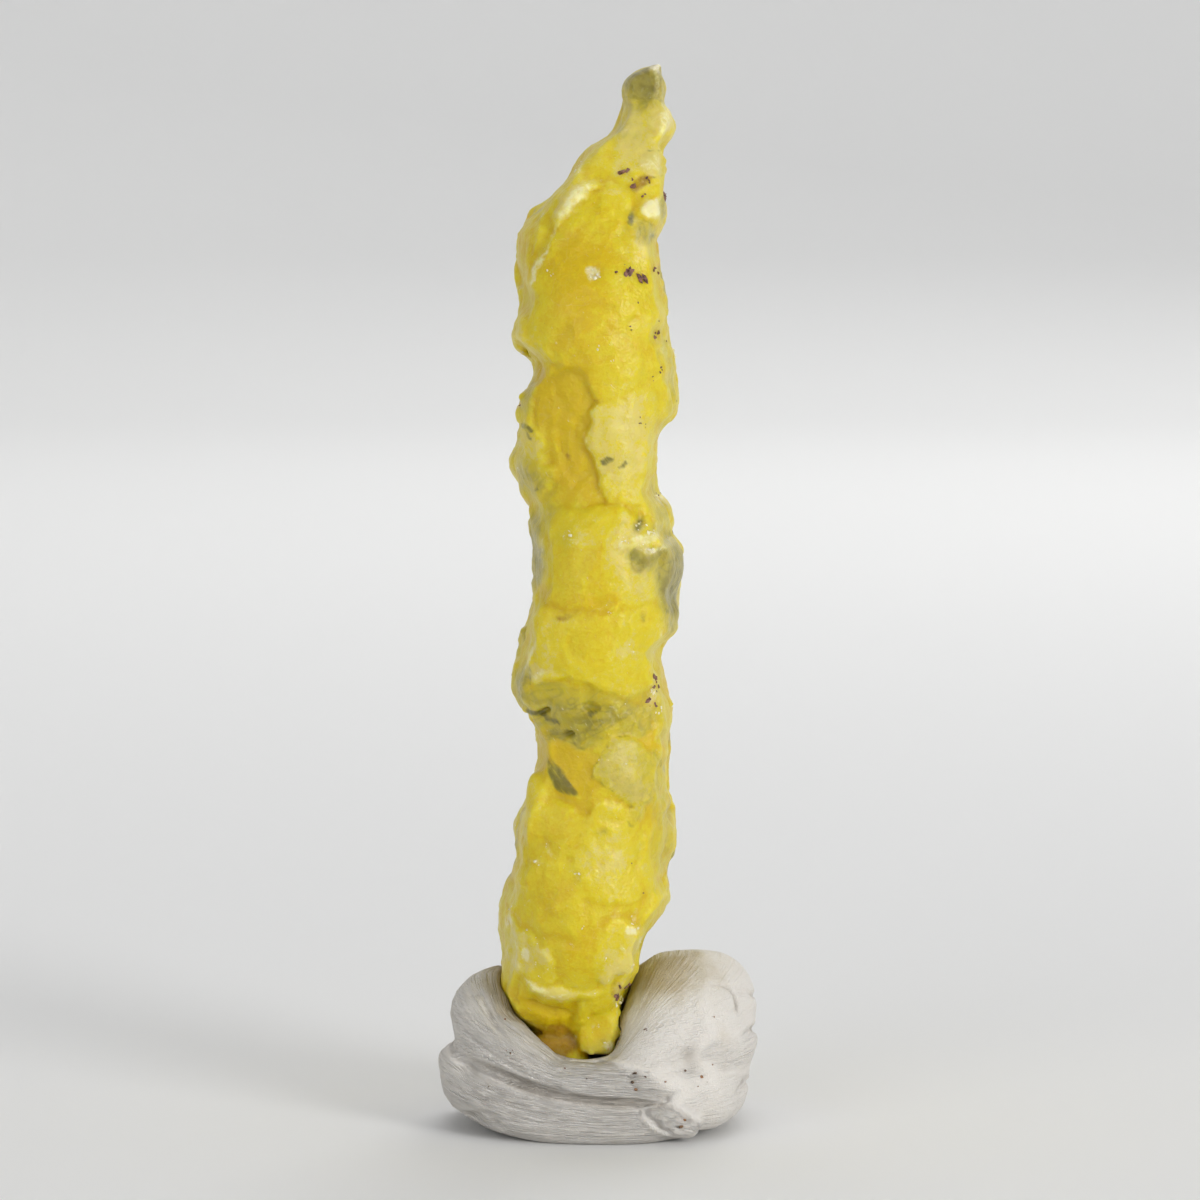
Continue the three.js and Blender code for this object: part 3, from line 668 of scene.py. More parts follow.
# Growth plates of the front, in the order they are laid: level, tone from -1 pale to 1 deep, and the outline
# as across and up.
FRONT_PLATES = {
    "back_left_lobe": (-1.0, 0.45, [
        (-8.3, 93.4), (-7.1, 95.5), (-5.0, 96.7), (-3.1, 98.1), (-2.5, 97.0), (-3.7, 94.2), (-4.8, 90.3),
        (-6.0, 87.9), (-7.1, 84.8), (-8.6, 86.0), (-9.0, 90.3),
    ]),
    "shoulder": (-0.2, 0.35, [
        (-0.4, 101.2), (-0.2, 102.8), (2.3, 102.6), (2.4, 97.5), (1.0, 97.0), (-0.9, 97.3), (-2.6, 96.7),
        (-1.7, 99.0),
    ]),
    "neck": (0.3, -0.15, [
        (2.8, 105.6), (5.4, 105.5), (6.8, 104.9), (7.1, 102.5), (8.4, 101.4), (8.6, 99.2), (8.1, 96.7),
        (5.4, 96.3), (2.6, 97.0), (2.3, 100.3), (2.4, 102.7),
    ]),
    "right_bulge": (0.8, -0.5, [
        (6.3, 106.5), (7.9, 107.0), (9.3, 105.8), (9.9, 104.3), (9.3, 102.9), (8.0, 102.2), (7.0, 102.9),
        (6.2, 104.5),
    ]),
    "top_knob": (0.5, -0.2, [
        (2.8, 107.1), (3.2, 108.9), (4.3, 110.8), (5.7, 111.4), (7.4, 110.2), (8.4, 108.2), (7.7, 106.2),
        (5.7, 105.5), (3.8, 105.7),
    ]),
    "grey_bump": (0.5, -0.5, [
        (5.8, 100.3), (7.1, 100.7), (8.5, 99.8), (8.6, 98.1), (7.2, 97.3), (5.9, 98.1),
    ]),
    "big_plate": (0.9, 0.35, [
        (-3.8, 91.7), (-2.5, 93.4), (0.2, 96.1), (2.4, 96.7), (4.8, 95.6), (4.3, 93.1), (5.4, 92.0),
        (7.1, 90.9), (7.6, 86.5), (8.1, 82.6), (8.7, 79.3), (8.9, 75.4), (7.1, 74.2), (3.8, 73.5),
        (1.2, 73.4), (0.0, 74.5), (-0.6, 75.9), (-1.5, 76.8), (-3.4, 77.2), (-5.2, 77.5), (-7.6, 79.0),
        (-8.7, 80.6), (-8.5, 82.4), (-7.2, 84.8), (-5.8, 87.9), (-4.5, 90.3),
    ]),
    "leaf": (1.3, -0.6, [
        (-0.1, 97.2), (-0.9, 97.4), (-2.5, 96.5), (-3.5, 95.2), (-4.1, 93.4), (-3.8, 91.9), (-2.8, 93.4),
        (-1.7, 94.5), (0.0, 96.2),
    ]),
    "lobe_under_bump": (1.4, 0, [
        (4.5, 92.8), (6.3, 92.1), (7.2, 90.8), (7.1, 89.0), (6.1, 88.1), (4.1, 87.9), (2.6, 88.8),
        (2.0, 90.5), (2.8, 92.1),
    ]),
    "white_bump": (1.7, -1, [(5.5, 94.3), (6.5, 95.0), (7.6, 94.3), (7.9, 93.2), (7.0, 92.6), (5.9, 92.9)]),
    "edge_knob": (-1.0, -0.4, [(7.7, 95.1), (8.4, 95.0), (8.8, 93.9), (8.6, 92.4), (7.9, 91.9), (7.6, 93.4)]),
    # The recess's deep tone is partly painted shade under the big plate's overhang, and partly deeper yellow
    # crystal.
    "recess": (-1.1, 0.8, [
        (-5.2, 77.3), (-3.1, 76.9), (-1.4, 76.6), (-0.3, 75.3), (0.6, 73.7), (0.8, 72.1), (0.4, 70.2),
        (0.4, 68.0), (0.9, 66.2), (1.0, 63.8), (0.6, 62.2), (-1.4, 61.8), (-2.7, 61.3), (-3.8, 62.7),
        (-4.2, 64.9), (-5.0, 66.9), (-5.8, 69.3), (-6.0, 72.4), (-5.8, 74.8),
    ]),
    "recess_core": (-1.5, 1, [
        (-3.8, 71.5), (-1.7, 72.4), (0.2, 71.5), (0.3, 68.2), (0.8, 66.0), (-0.1, 64.3), (-1.7, 65.4),
        (-3.1, 67.7),
    ]),
    "left_edge": (-0.6, -0.2, [
        (-8.2, 74.2), (-6.5, 76.3), (-5.6, 76.4), (-5.7, 73.7), (-6.3, 72.4), (-7.7, 73.0),
    ]),
    "left_face": (0.1, -0.3, [
        (-8.3, 70.6), (-6.7, 72.1), (-5.9, 71.5), (-5.6, 68.8), (-4.9, 67.3), (-7.3, 67.3), (-9.0, 68.0),
    ]),
    "flange": (0.6, -0.1, [
        (-9.6, 67.4), (-8.6, 68.1), (-7.3, 67.3), (-5.0, 67.3), (-3.6, 66.8), (-3.8, 65.1), (-5.1, 63.6),
        (-6.3, 62.7), (-7.7, 62.8), (-8.5, 64.7),
    ]),
    "wedge": (-0.5, 0.45, [
        (-2.0, 63.6), (-1.4, 65.4), (-0.1, 66.4), (0.8, 65.5), (0.9, 63.6), (0.4, 62.2), (-1.2, 62.0),
    ]),
    "pale_plate": (1.0, -0.65, [
        (1.0, 73.2), (3.2, 73.6), (6.8, 74.1), (6.8, 70.4), (6.4, 66.0), (6.1, 62.7), (3.8, 61.9),
        (1.7, 62.0), (0.8, 62.7), (1.0, 65.1), (0.4, 67.3), (0.3, 69.3), (0.7, 71.3),
    ]),
    "left_sliver": (-0.7, -0.2, [
        (-7.0, 62.1), (-5.8, 61.6), (-4.9, 59.4), (-5.0, 56.0), (-4.7, 53.8), (-6.0, 51.6), (-6.9, 53.2),
        (-7.2, 59.4),
    ]),
    "round_lobe": (1.0, 0.15, [
        (-4.4, 60.5), (-3.4, 61.6), (-1.7, 62.1), (0.2, 62.2), (2.1, 61.8), (3.8, 61.8), (6.0, 60.5),
        (7.1, 58.2), (7.4, 56.0), (6.8, 53.3), (5.4, 51.6), (2.7, 51.1), (-0.1, 51.1), (-2.8, 51.9),
        (-4.7, 53.8), (-5.2, 56.0), (-5.0, 58.2),
    ]),
    "lobe_right": (1.3, -0.6, [
        (3.0, 61.0), (1.6, 58.8), (1.2, 56.5), (2.0, 53.3), (5.4, 51.9), (7.1, 52.7), (8.1, 56.0),
        (7.6, 59.4), (6.5, 61.0), (4.9, 61.6),
    ]),
    "next_lobe": (1.0, 0, [
        (-4.7, 53.4), (-3.4, 51.9), (-0.1, 51.1), (3.8, 51.5), (6.5, 51.6), (7.6, 49.2), (7.7, 45.5),
        (7.3, 42.3), (4.3, 41.7), (1.0, 42.1), (-2.7, 42.8), (-5.0, 42.9), (-6.7, 44.4), (-7.5, 46.3),
        (-7.2, 48.8), (-5.8, 51.3),
    ]),
    "rim_facet": (1.2, -0.9, [
        (-7.2, 45.5), (-5.6, 45.0), (-3.8, 44.1), (-2.7, 43.7), (-3.8, 42.8), (-5.6, 42.8), (-6.8, 43.7),
    ]),
    "left_green": (-0.5, -0.2, [
        (-8.8, 41.7), (-8.6, 44.1), (-7.2, 45.4), (-6.3, 43.3), (-6.0, 41.7), (-6.7, 40.2), (-7.8, 40.2),
    ]),
    "green_band": (-0.5, -0.2, [
        (-6.7, 41.7), (-5.6, 42.5), (-3.8, 42.7), (-1.5, 41.9), (0.2, 42.1), (2.1, 42.1), (4.7, 41.0),
        (6.5, 40.3), (7.3, 39.2), (6.8, 37.2), (5.4, 36.4), (3.2, 36.4), (1.0, 36.5), (-0.3, 35.6),
        (-1.7, 35.8), (-3.4, 36.4), (-5.6, 37.2), (-6.7, 38.8),
    ]),
    "band_a": (0.0, -0.2, [
        (-3.5, 39.9), (-1.7, 40.3), (-0.3, 39.2), (-0.3, 37.5), (-2.0, 36.8), (-3.6, 37.9),
    ]),
    "band_b": (0.1, -0.2, [(-0.1, 40.6), (1.5, 41.2), (2.4, 40.1), (1.7, 38.8), (0.2, 39.0)]),
    "band_c": (0.2, -0.2, [(1.0, 38.6), (3.0, 39.2), (4.5, 38.1), (4.3, 36.6), (2.1, 36.4), (0.8, 37.2)]),
    "band_d": (0.4, -0.3, [(2.4, 41.4), (3.9, 41.2), (5.0, 39.7), (5.4, 38.1), (4.3, 37.9), (3.2, 39.7)]),
    "deep_yellow": (-0.5, 0.9, [
        (-6.2, 36.7), (-5.0, 37.0), (-3.4, 36.1), (-1.2, 35.2), (0.2, 34.8), (0.2, 30.6), (-0.6, 29.5),
        (-3.4, 29.5), (-5.0, 31.2), (-5.8, 33.4),
    ]),
    "blade": (0.0, 0, [
        (-4.8, 34.0), (-3.5, 34.6), (-2.6, 33.7), (-1.5, 32.4), (-0.8, 30.5), (-1.7, 30.3), (-3.1, 31.4),
        (-4.4, 32.6),
    ]),
    "pale_crystal": (0.8, -0.5, [
        (0.4, 32.9), (0.8, 34.6), (2.0, 35.8), (4.9, 36.2), (6.9, 35.3), (7.5, 33.4), (6.9, 31.2),
        (4.9, 29.3), (2.7, 30.0), (1.2, 31.4),
    ]),
    "pale_small": (1.1, -0.6, [(4.6, 31.5), (6.3, 32.3), (7.5, 31.3), (7.0, 29.7), (5.6, 28.9), (4.5, 30.0)]),
    "striated": (0.8, -0.4, [(3.8, 28.9), (6.1, 29.2), (6.0, 27.3), (5.1, 26.7), (3.8, 27.5)]),
    "left_knob": (0.3, 0.3, [
        (-9.1, 26.2), (-8.4, 28.4), (-6.7, 29.7), (-5.0, 29.3), (-4.7, 27.3), (-5.6, 25.3), (-7.8, 24.8),
    ]),
    "mid_left": (0.4, 0.2, [
        (-4.5, 29.5), (-1.7, 29.2), (0.2, 27.8), (-0.1, 25.1), (-2.3, 24.0), (-4.5, 24.5), (-5.6, 26.2),
    ]),
    "body_upper": (0.7, -0.1, [
        (-0.1, 28.9), (2.7, 29.5), (5.4, 26.6), (6.0, 24.0), (5.4, 19.5), (3.2, 17.9), (-0.1, 18.4),
        (-2.0, 20.6), (-2.3, 24.0), (-1.2, 27.3),
    ]),
    "body_left": (0.6, 0.15, [
        (-8.2, 22.9), (-5.6, 24.5), (-2.8, 24.0), (-0.6, 21.2), (-0.1, 17.9), (-1.2, 15.1), (-3.9, 14.6),
        (-6.7, 16.2), (-9.4, 17.3), (-10.0, 19.5), (-9.5, 21.5),
    ]),
    "ridge_strip": (0.3, -0.3, [
        (5.8, 26.6), (7.1, 26.2), (7.1, 18.4), (6.5, 15.1), (5.4, 14.0), (5.4, 19.5),
    ]),
    "body_low": (0.2, 0.35, [
        (-3.9, 14.6), (-0.6, 15.1), (1.0, 15.7), (1.0, 11.8), (-0.1, 9.0), (-3.4, 9.6), (-5.0, 11.8),
    ]),
    "low_right": (0.9, -0.25, [
        (-0.1, 14.0), (1.0, 15.3), (3.2, 15.9), (5.4, 14.9), (5.9, 12.9), (4.5, 10.5), (2.7, 9.0),
        (0.8, 10.1), (-0.3, 12.0),
    ]),
    "frost_bump": (0.7, -0.2, [
        (-9.8, 15.7), (-8.5, 16.6), (-6.7, 15.7), (-5.0, 14.0), (-4.2, 11.8), (-5.0, 9.6), (-6.7, 9.0),
        (-8.6, 10.1), (-9.7, 12.9),
    ]),
    "lip": (0.9, -0.5, [
        (-7.2, 8.5), (-5.0, 9.0), (-1.7, 8.5), (1.0, 9.0), (2.1, 8.3), (1.0, 7.4), (-1.7, 6.9), (-4.5, 7.2),
        (-6.5, 7.5),
    ]),
    "underside": (-1.0, 1, [
        (-9.6, 8.5), (-7.8, 8.5), (-6.1, 7.4), (-3.4, 6.7), (-1.5, 6.9), (-1.4, 4.1), (-3.4, 3.4),
        (-5.6, 4.1), (-8.3, 6.3),
    ]),
    "tip": (0.9, -0.3, [
        (-1.5, 6.9), (1.0, 7.6), (3.5, 9.0), (5.6, 9.0), (4.7, 6.3), (3.2, 2.9), (1.0, 1.0), (-0.9, 1.6),
        (-1.7, 3.5),
    ]),
    "lobe_beyond_1": (-1.0, -0.1, [
        (7.6, 79.5), (8.7, 79.4), (10.0, 77.1), (10.2, 74.0), (9.5, 71.8), (8.1, 71.5), (7.6, 73.7),
    ]),
    "lobe_beyond_2": (-1.0, -0.3, [
        (7.2, 66.0), (8.3, 65.0), (9.4, 62.7), (9.5, 60.5), (8.5, 58.7), (7.4, 58.7), (6.5, 61.6),
    ]),
    "lobe_beyond_3": (-1.4, -0.3, [
        (7.0, 58.2), (8.5, 59.0), (10.0, 58.4), (10.8, 56.5), (10.7, 51.6), (10.6, 48.8), (9.4, 47.3),
        (8.1, 48.3), (7.2, 51.6),
    ]),
    "lobe_beyond_4": (-0.9, 0, [
        (7.6, 43.9), (8.6, 43.4), (9.8, 40.6), (9.9, 38.9), (8.6, 36.5), (7.7, 35.9), (7.3, 38.9),
    ]),
    "lobe_beyond_5": (-0.9, 0.3, [
        (7.1, 35.6), (8.7, 32.9), (9.6, 29.5), (9.6, 26.2), (9.6, 22.9), (8.6, 19.9), (7.4, 21.8),
        (7.1, 26.2),
    ]),
    "lobe_beyond_6": (-0.6, 0.2, [
        (6.0, 20.1), (8.7, 19.5), (9.1, 17.9), (7.6, 15.5), (6.3, 14.0), (5.4, 15.7),
    ]),
}

# How clear and green some of the plates are.
CLEAR_PLATES = {
    "top_knob": 0.6, "edge_knob": 0.7, "grey_bump": 0.3, "flange": 0.3, "left_sliver": 0.6, "left_green": 0.5,
    "green_band": 0.55, "band_a": 0.5, "band_b": 0.45, "band_c": 0.5, "band_d": 0.6, "pale_crystal": 0.4,
    "pale_small": 0.45, "striated": 0.35, "lobe_beyond_1": 0.4, "lobe_beyond_2": 0.45, "lobe_beyond_3": 0.75,
    "lobe_beyond_4": 0.3, "lobe_beyond_5": 0.35,
}

# Clear zones of the other sides, which meet those of the front: across, up, half width, half height, lean in
# degrees, strength.
CLEAR_ZONES = {
    "right": [(-9.0, 52.9, 9.0, 4.6, 0, 1), (-8.0, 61.6, 5.0, 2.2, 0, 0.6), (-10.0, 75.4, 5.0, 3.0, 0, 0.5)],
    "left": [(10.0, 57.1, 6.0, 4.4, 0, 0.8), (11.0, 65.2, 5.0, 2.2, 0, 0.7), (12.0, 42.8, 5.0, 2.2, 0, 0.8)],
}

# Clear plates with a thin grey line round them.
OUTLINED = ("pale_crystal", "pale_small", "grey_bump", "striated", "left_green")

# The crisp edge down the front's right-hand side, as across and up, from the foot to the top.
RIDGE = [
    (5.4, 12.9), (5.8, 18.4), (6.0, 25.1), (7.1, 29.5), (7.3, 35.0), (7.6, 40.6), (7.6, 47.2), (6.8, 51.6),
    (7.2, 58.2), (6.3, 62.1), (6.3, 64.9), (6.6, 70.4), (7.7, 74.3), (8.2, 79.8), (7.6, 84.8), (7.3, 89.0),
    (8.0, 95.9), (7.4, 101.4),
]

# The left and right outline as seen from the front, from the top down, as up and across.
LEFT_OUTLINE = [
    (111.3, 5.2), (110.5, 4.2), (109.0, 3.3), (107.5, 2.9), (104.8, 2.8), (103.3, 2.1), (102.7, 0.0),
    (101.9, -0.5), (101.2, -1.4), (98.4, -3.1), (97.1, -4.3), (95.8, -6.9), (93.8, -7.7), (92.3, -8.4),
    (88.6, -8.5), (86.6, -8.1), (84.6, -7.4), (82.6, -8.1), (80.6, -8.5), (79.5, -8.0), (78.2, -6.0),
    (77.2, -5.4), (75.2, -7.0), (73.8, -7.9), (71.5, -8.0), (68.8, -8.5), (67.4, -9.2), (66.2, -8.9),
    (64.8, -7.9), (63.4, -7.7), (62.2, -6.7), (60.0, -6.6), (58.0, -6.0), (53.5, -6.2), (51.6, -6.6),
    (48.5, -7.7), (44.5, -8.2), (42.6, -8.5), (40.9, -8.0), (40.0, -7.1), (38.5, -6.7), (36.0, -6.0),
    (34.8, -5.7), (33.2, -6.4), (30.3, -6.9), (28.4, -8.2), (26.2, -8.7), (24.6, -8.2), (23.0, -8.1),
    (21.5, -8.9), (18.2, -10.1), (15.5, -10.4), (13.0, -9.9), (9.6, -10.0), (8.2, -9.9), (6.9, -9.5),
    (5.8, -8.6), (4.5, -7.1), (3.0, -5.6),
]
RIGHT_OUTLINE = [
    (111.2, 6.2), (110.3, 7.5), (108.7, 8.4), (107.8, 8.3), (106.9, 7.7), (106.1, 8.7), (105.2, 9.4),
    (104.3, 9.6), (103.0, 9.2), (101.9, 8.0), (99.5, 8.4), (97.0, 8.0), (95.2, 8.4), (94.2, 8.6), (93.0, 8.2),
    (91.8, 7.4), (90.2, 7.3), (86.0, 8.1), (82.0, 8.6), (80.2, 8.8), (79.3, 9.4), (78.4, 9.2), (76.8, 9.8),
    (73.0, 9.8), (72.0, 9.3), (71.3, 8.0), (69.5, 7.4), (65.0, 7.3), (63.8, 7.6), (62.6, 8.9), (60.2, 9.3),
    (59.4, 8.8), (58.6, 9.6), (57.5, 10.4), (54.0, 10.2), (52.4, 9.8), (50.6, 10.2), (48.4, 10.2),
    (47.6, 8.6), (46.2, 7.6), (44.8, 7.9), (41.5, 8.6), (40.0, 9.4), (38.8, 9.5), (37.4, 8.9), (35.0, 9.1),
    (33.8, 8.6), (31.0, 8.8), (29.4, 9.4), (24.0, 9.4), (22.4, 8.6), (20.8, 8.5), (18.9, 9.1), (17.5, 8.4),
    (15.8, 7.2), (14.6, 6.3), (12.9, 5.7), (11.4, 5.6), (9.6, 5.0), (7.8, 4.3), (5.6, 3.9), (3.4, 3.0),
]

# Patches on the front: across, up, half width, half height, lean in degrees, strength.
FRONT_PATCHES = {
    "pale": [
        (5.4, 100.4, 3.2, 3.4, 0, 0.7),  # the neck
        (8.2, 104.2, 1.8, 2.4, 0, 0.7), (2.7, 95.5, 1.9, 1.3, 30, 0.4), (4.6, 90.3, 2.6, 2.0, 0, 0.35),
        (5.6, 83.4, 2.3, 3.8, 8, 0.35),  # the big plate's right side
        (4.9, 75.3, 2.6, 2.2, 0, 0.55), (-6.9, 69.0, 1.2, 1.6, 0, 0.35),
        (3.6, 69.4, 2.4, 3.6, 0, 0.25),  # the pale plate
        (4.9, 64.3, 1.5, 2.6, 0, 0.4), (-0.4, 59.4, 3.6, 1.6, -8, 0.3), (4.4, 57.8, 2.9, 3.8, 0, 0.4),
        (-5.6, 48.4, 1.7, 2.8, 15, 0.25), (-5.2, 44.7, 2.2, 1.3, -25, 0.7), (4.6, 46.8, 1.8, 2.6, 0, 0.3),
        (3.6, 32.8, 3.4, 3.2, 0, 0.5), (1.4, 23.8, 3.6, 2.4, -15, 0.4), (-6.6, 13.4, 2.6, 3.2, 0, 0.5),
        (3.2, 12.6, 2.6, 2.8, 0, 0.5), (-2.6, 8.6, 4.4, 1.2, -4, 0.4),
    ],
    "deep": [
        (0.9, 3.8, 3.0, 4.4, 0, 0.9),  # the tip
        (-7.4, 89.6, 1.3, 3.4, 0, 0.4),
        (-0.9, 86.2, 3.2, 5.8, 12, 0.9),  # the big plate's middle
        (-0.4, 77.6, 2.8, 1.3, 0, 0.5),
        # painted shade in the recess, over its deeper yellow
        (-2.9, 73.0, 2.8, 4.0, 0, 0.9),  # the recess
        (-1.4, 67.0, 2.0, 4.2, 0, 0.6), (-1.8, 52.2, 3.4, 1.5, 8, 0.6), (0.8, 49.2, 2.4, 2.4, 0, 0.3),
        (-4.9, 36.3, 1.3, 1.6, 0, 0.7),
        (-1.8, 33.6, 2.2, 2.9, -30, 0.6),  # round the blade
        (-5.2, 25.2, 2.6, 2.4, 0, 0.3), (-4.6, 19.4, 2.6, 2.2, 0, 0.3), (-2.8, 12.8, 1.5, 2.2, 0, 0.4),
        (-4.4, 5.2, 3.0, 1.8, -10, 0.8),
    ],
    "green": [
        (5.6, 108.2, 3.4, 4.2, 0, 1.0),  # the top knob
        (3.5, 108.2, 1.0, 1.8, 10, 0.9), (5.6, 102.4, 3.4, 3.0, 0, 0.3), (3.2, 102.5, 1.1, 0.7, 0, 0.6),
        (5.0, 102.2, 0.9, 0.6, 0, 0.5), (7.0, 98.9, 1.4, 1.5, 0, 0.35), (-5.6, 95.1, 2.0, 1.3, -30, 0.5),
        (5.7, 91.4, 1.9, 1.2, 20, 0.8), (4.5, 93.1, 0.7, 1.0, 20, 0.8), (8.2, 93.6, 0.8, 1.6, 0, 0.9),
        (-6.9, 74.3, 1.1, 2.0, 20, 0.6), (-6.9, 65.2, 1.9, 2.1, -10, 0.6), (-4.9, 64.6, 1.9, 2.1, -10, 0.35),
        (-4.2, 61.6, 1.9, 1.4, -35, 0.4), (-8.9, 67.2, 0.6, 1.0, 0, 0.7), (-5.7, 57.1, 1.0, 5.2, 0, 0.9),
        (3.5, 66.9, 2.6, 0.7, 0, 0.35), (4.3, 63.8, 1.2, 1.0, 0, 0.3),
        (5.7, 56.6, 2.1, 2.0, 0, 0.8),  # the eye
        (5.5, 60.8, 0.6, 0.8, 0, 0.8),
        (9.1, 52.7, 2.1, 5.4, 0, 1.0),  # the clear plates beyond the ridge
        (8.7, 75.4, 1.3, 3.6, 0, 0.45), (8.3, 61.6, 1.1, 2.6, 0, 0.5), (-7.3, 42.8, 1.2, 2.6, 0, 0.8),
        (-0.1, 39.2, 8.0, 3.2, -6, 0.72),  # the green band
        (-2.8, 36.4, 3.0, 0.9, -14, 0.9), (3.8, 32.8, 3.3, 3.1, 0, 0.4), (4.9, 28.1, 1.3, 1.3, 0, 0.5),
        (8.4, 40.3, 1.0, 2.4, 0, 0.3), (-7.8, 26.0, 1.0, 0.9, 0, 0.4), (8.7, 25.1, 0.9, 4.4, 0, 0.45),
        (1.0, 26.9, 1.0, 0.7, 0, 0.6),
    ],
    "dark": [
        (3.7, 108.2, 0.7, 1.4, 15, 0.7), (5.4, 106.4, 0.25, 1.0, 0, 0.5), (5.0, 109.7, 0.7, 0.4, 0, 0.6),
        (4.3, 93.0, 0.6, 1.0, 30, 0.7), (7.1, 91.0, 0.7, 0.4, 20, 0.7), (-6.8, 71.1, 0.8, 0.4, 0, 0.8),
        (-7.0, 70.0, 0.35, 0.7, 0, 0.7), (-6.3, 64.1, 0.4, 0.4, 0, 0.8), (1.8, 67.1, 1.0, 0.5, -8, 0.9),
        (3.7, 66.4, 0.7, 0.4, -8, 0.9), (4.3, 63.9, 0.7, 0.6, 40, 0.3), (5.5, 60.8, 0.4, 0.6, 0, 0.6),
        (5.3, 56.2, 0.8, 0.9, 0, 0.35), (5.4, 50.3, 0.3, 1.1, -25, 0.5), (8.1, 50.1, 1.0, 0.9, 0, 0.5),
        (-5.5, 39.2, 0.4, 1.9, -62, 1.0), (-3.8, 37.9, 0.9, 0.35, 25, 0.8), (-3.8, 41.3, 0.3, 1.0, 40, 0.5),
        (0.2, 40.2, 0.9, 0.5, -15, 0.8), (-2.5, 36.9, 0.6, 0.35, 0, 0.7), (-0.6, 36.1, 1.0, 0.35, 20, 0.6),
        (1.9, 36.6, 1.5, 0.3, 6, 0.5), (5.4, 38.4, 0.3, 1.5, -25, 0.4),
        (-2.9, 32.6, 1.3, 2.9, -38, 0.8),  # the blade, and the lines along it
        (-3.5, 33.0, 0.3, 2.2, -38, 1.0), (-1.9, 31.7, 0.3, 1.7, -38, 1.0), (-1.7, 26.6, 0.35, 0.8, 0, 0.5),
        (1.0, 26.6, 0.7, 0.3, 0, 0.4), (-7.3, 26.6, 0.4, 0.35, 0, 0.4), (-8.2, 17.1, 0.7, 0.35, 0, 0.4),
    ],
    "frost": [
        (5.4, 111.2, 0.9, 0.5, 0, 0.9), (6.6, 109.8, 0.7, 0.6, 0, 0.6), (8.6, 104.0, 1.0, 1.8, 0, 0.4),
        (7.0, 99.2, 1.2, 1.2, 0, 0.35),
        (-1.9, 95.2, 0.9, 2.8, 38, 0.55),  # the leaf and the slanting streak below it
        (-3.9, 91.6, 0.5, 1.4, 20, 0.6), (-5.5, 87.6, 0.45, 3.4, 27, 0.7), (6.7, 93.9, 1.0, 1.1, 20, 0.8),
        (7.2, 94.6, 0.8, 0.5, -30, 0.7), (6.0, 93.2, 0.7, 0.4, 30, 0.5), (5.6, 95.5, 1.2, 0.8, 0, 0.4),
        (0.7, 87.3, 0.8, 0.9, 30, 0.8), (4.4, 70.6, 2.2, 2.4, 0, 0.3), (4.6, 63.6, 1.6, 1.0, 0, 0.3),
        (-6.6, 67.8, 0.9, 0.5, 0, 0.5), (6.0, 59.6, 1.6, 0.8, 0, 0.6), (6.1, 58.0, 1.4, 0.7, 20, 0.7),
        (3.9, 58.4, 0.8, 0.7, 0, 0.6), (3.4, 54.6, 0.5, 0.8, 0, 0.4), (-2.4, 59.0, 0.5, 1.2, -40, 0.5),
        (-6.9, 46.4, 0.4, 2.6, 20, 0.7), (-5.2, 44.0, 1.9, 0.6, -20, 0.5), (6.6, 40.9, 0.8, 1.6, 0, 0.5),
        (3.6, 40.0, 0.3, 1.7, -42, 0.6), (2.4, 34.0, 1.4, 1.4, 0, 0.3), (-5.0, 24.6, 0.5, 1.2, -30, 0.6),
        (-5.6, 23.2, 1.0, 0.4, 30, 0.5), (-1.2, 21.6, 0.5, 1.8, -40, 0.5), (4.8, 16.4, 0.5, 1.4, -8, 0.6),
        (-8.9, 15.4, 0.8, 1.2, 20, 0.7), (-8.0, 13.4, 0.7, 1.0, -30, 0.5), (-6.6, 14.2, 0.9, 0.6, 20, 0.5),
        (-6.3, 12.2, 0.6, 1.1, -25, 0.9), (-7.2, 10.8, 0.6, 0.8, 10, 0.5), (-5.2, 12.8, 0.4, 0.9, -40, 0.5),
        (4.4, 14.4, 0.7, 0.6, -20, 0.8), (5.2, 13.2, 0.5, 0.9, 15, 0.7), (3.6, 13.0, 0.6, 0.4, 30, 0.6),
        (2.6, 14.6, 0.5, 0.4, 0, 0.4), (3.0, 11.0, 0.4, 1.3, -20, 0.4), (-6.4, 8.6, 1.3, 0.4, 20, 0.6),
        (-3.6, 8.0, 1.6, 0.2, -6, 0.6), (-0.4, 8.2, 1.4, 0.2, 8, 0.6), (0.4, 4.6, 0.8, 0.5, -20, 0.5),
        (1.8, 2.6, 0.6, 0.8, 10, 0.5),
    ],
    "tan": [
        (5.6, 96.9, 1.5, 0.7, -20, 0.8), (-2.3, 50.4, 1.0, 0.7, -30, 0.7), (-2.1, 68.0, 0.4, 0.6, 0, 0.8),
        (0.9, 73.6, 0.9, 0.3, 0, 0.6), (-4.4, 67.4, 0.5, 0.3, 0, 0.5), (3.2, 8.4, 1.0, 0.9, 0, 0.5),
        # the arch's dark tan is partly painted shade in the hollow under the foot, partly the amber of thick
        # crystal
        (-3.4, 1.8, 2.9, 2.4, 0, 1.0),  # the arch
        (-5.4, 3.4, 1.4, 1.0, -30, 0.6), (5.6, 71.0, 0.4, 1.0, 0, 0.4),
    ],
}

# Where clefts in the front are filled: across, up, half width, half height, lean in degrees, how deep.
FILLS = [
    (-5.6, 29.0, 1.3, 3.4, 8, 1.4),  # beside the left knob
]

# Hollows in the front: across, up, half width, half height, lean in degrees, how deep.
HOLLOWS = [
    (5.6, 56.4, 1.3, 1.4, 0, 0.4),  # the eye
    (5.5, 60.8, 0.45, 0.6, 0, 0.6),
    (-5.5, 39.3, 0.3, 1.8, -62, 0.7),  # creases in the green band
    (-2.6, 37.0, 0.3, 1.4, -70, 0.5),
    (0.2, 40.2, 0.9, 0.4, -15, 0.5),
    (-4.9, 5.9, 2.9, 1.0, -16, 0.35),  # under the lip
    (-3.3, 1.0, 1.9, 2.1, 0, 2.4),  # the arch at the foot
    (-5.2, 2.2, 1.0, 0.9, -30, 1.2),
]

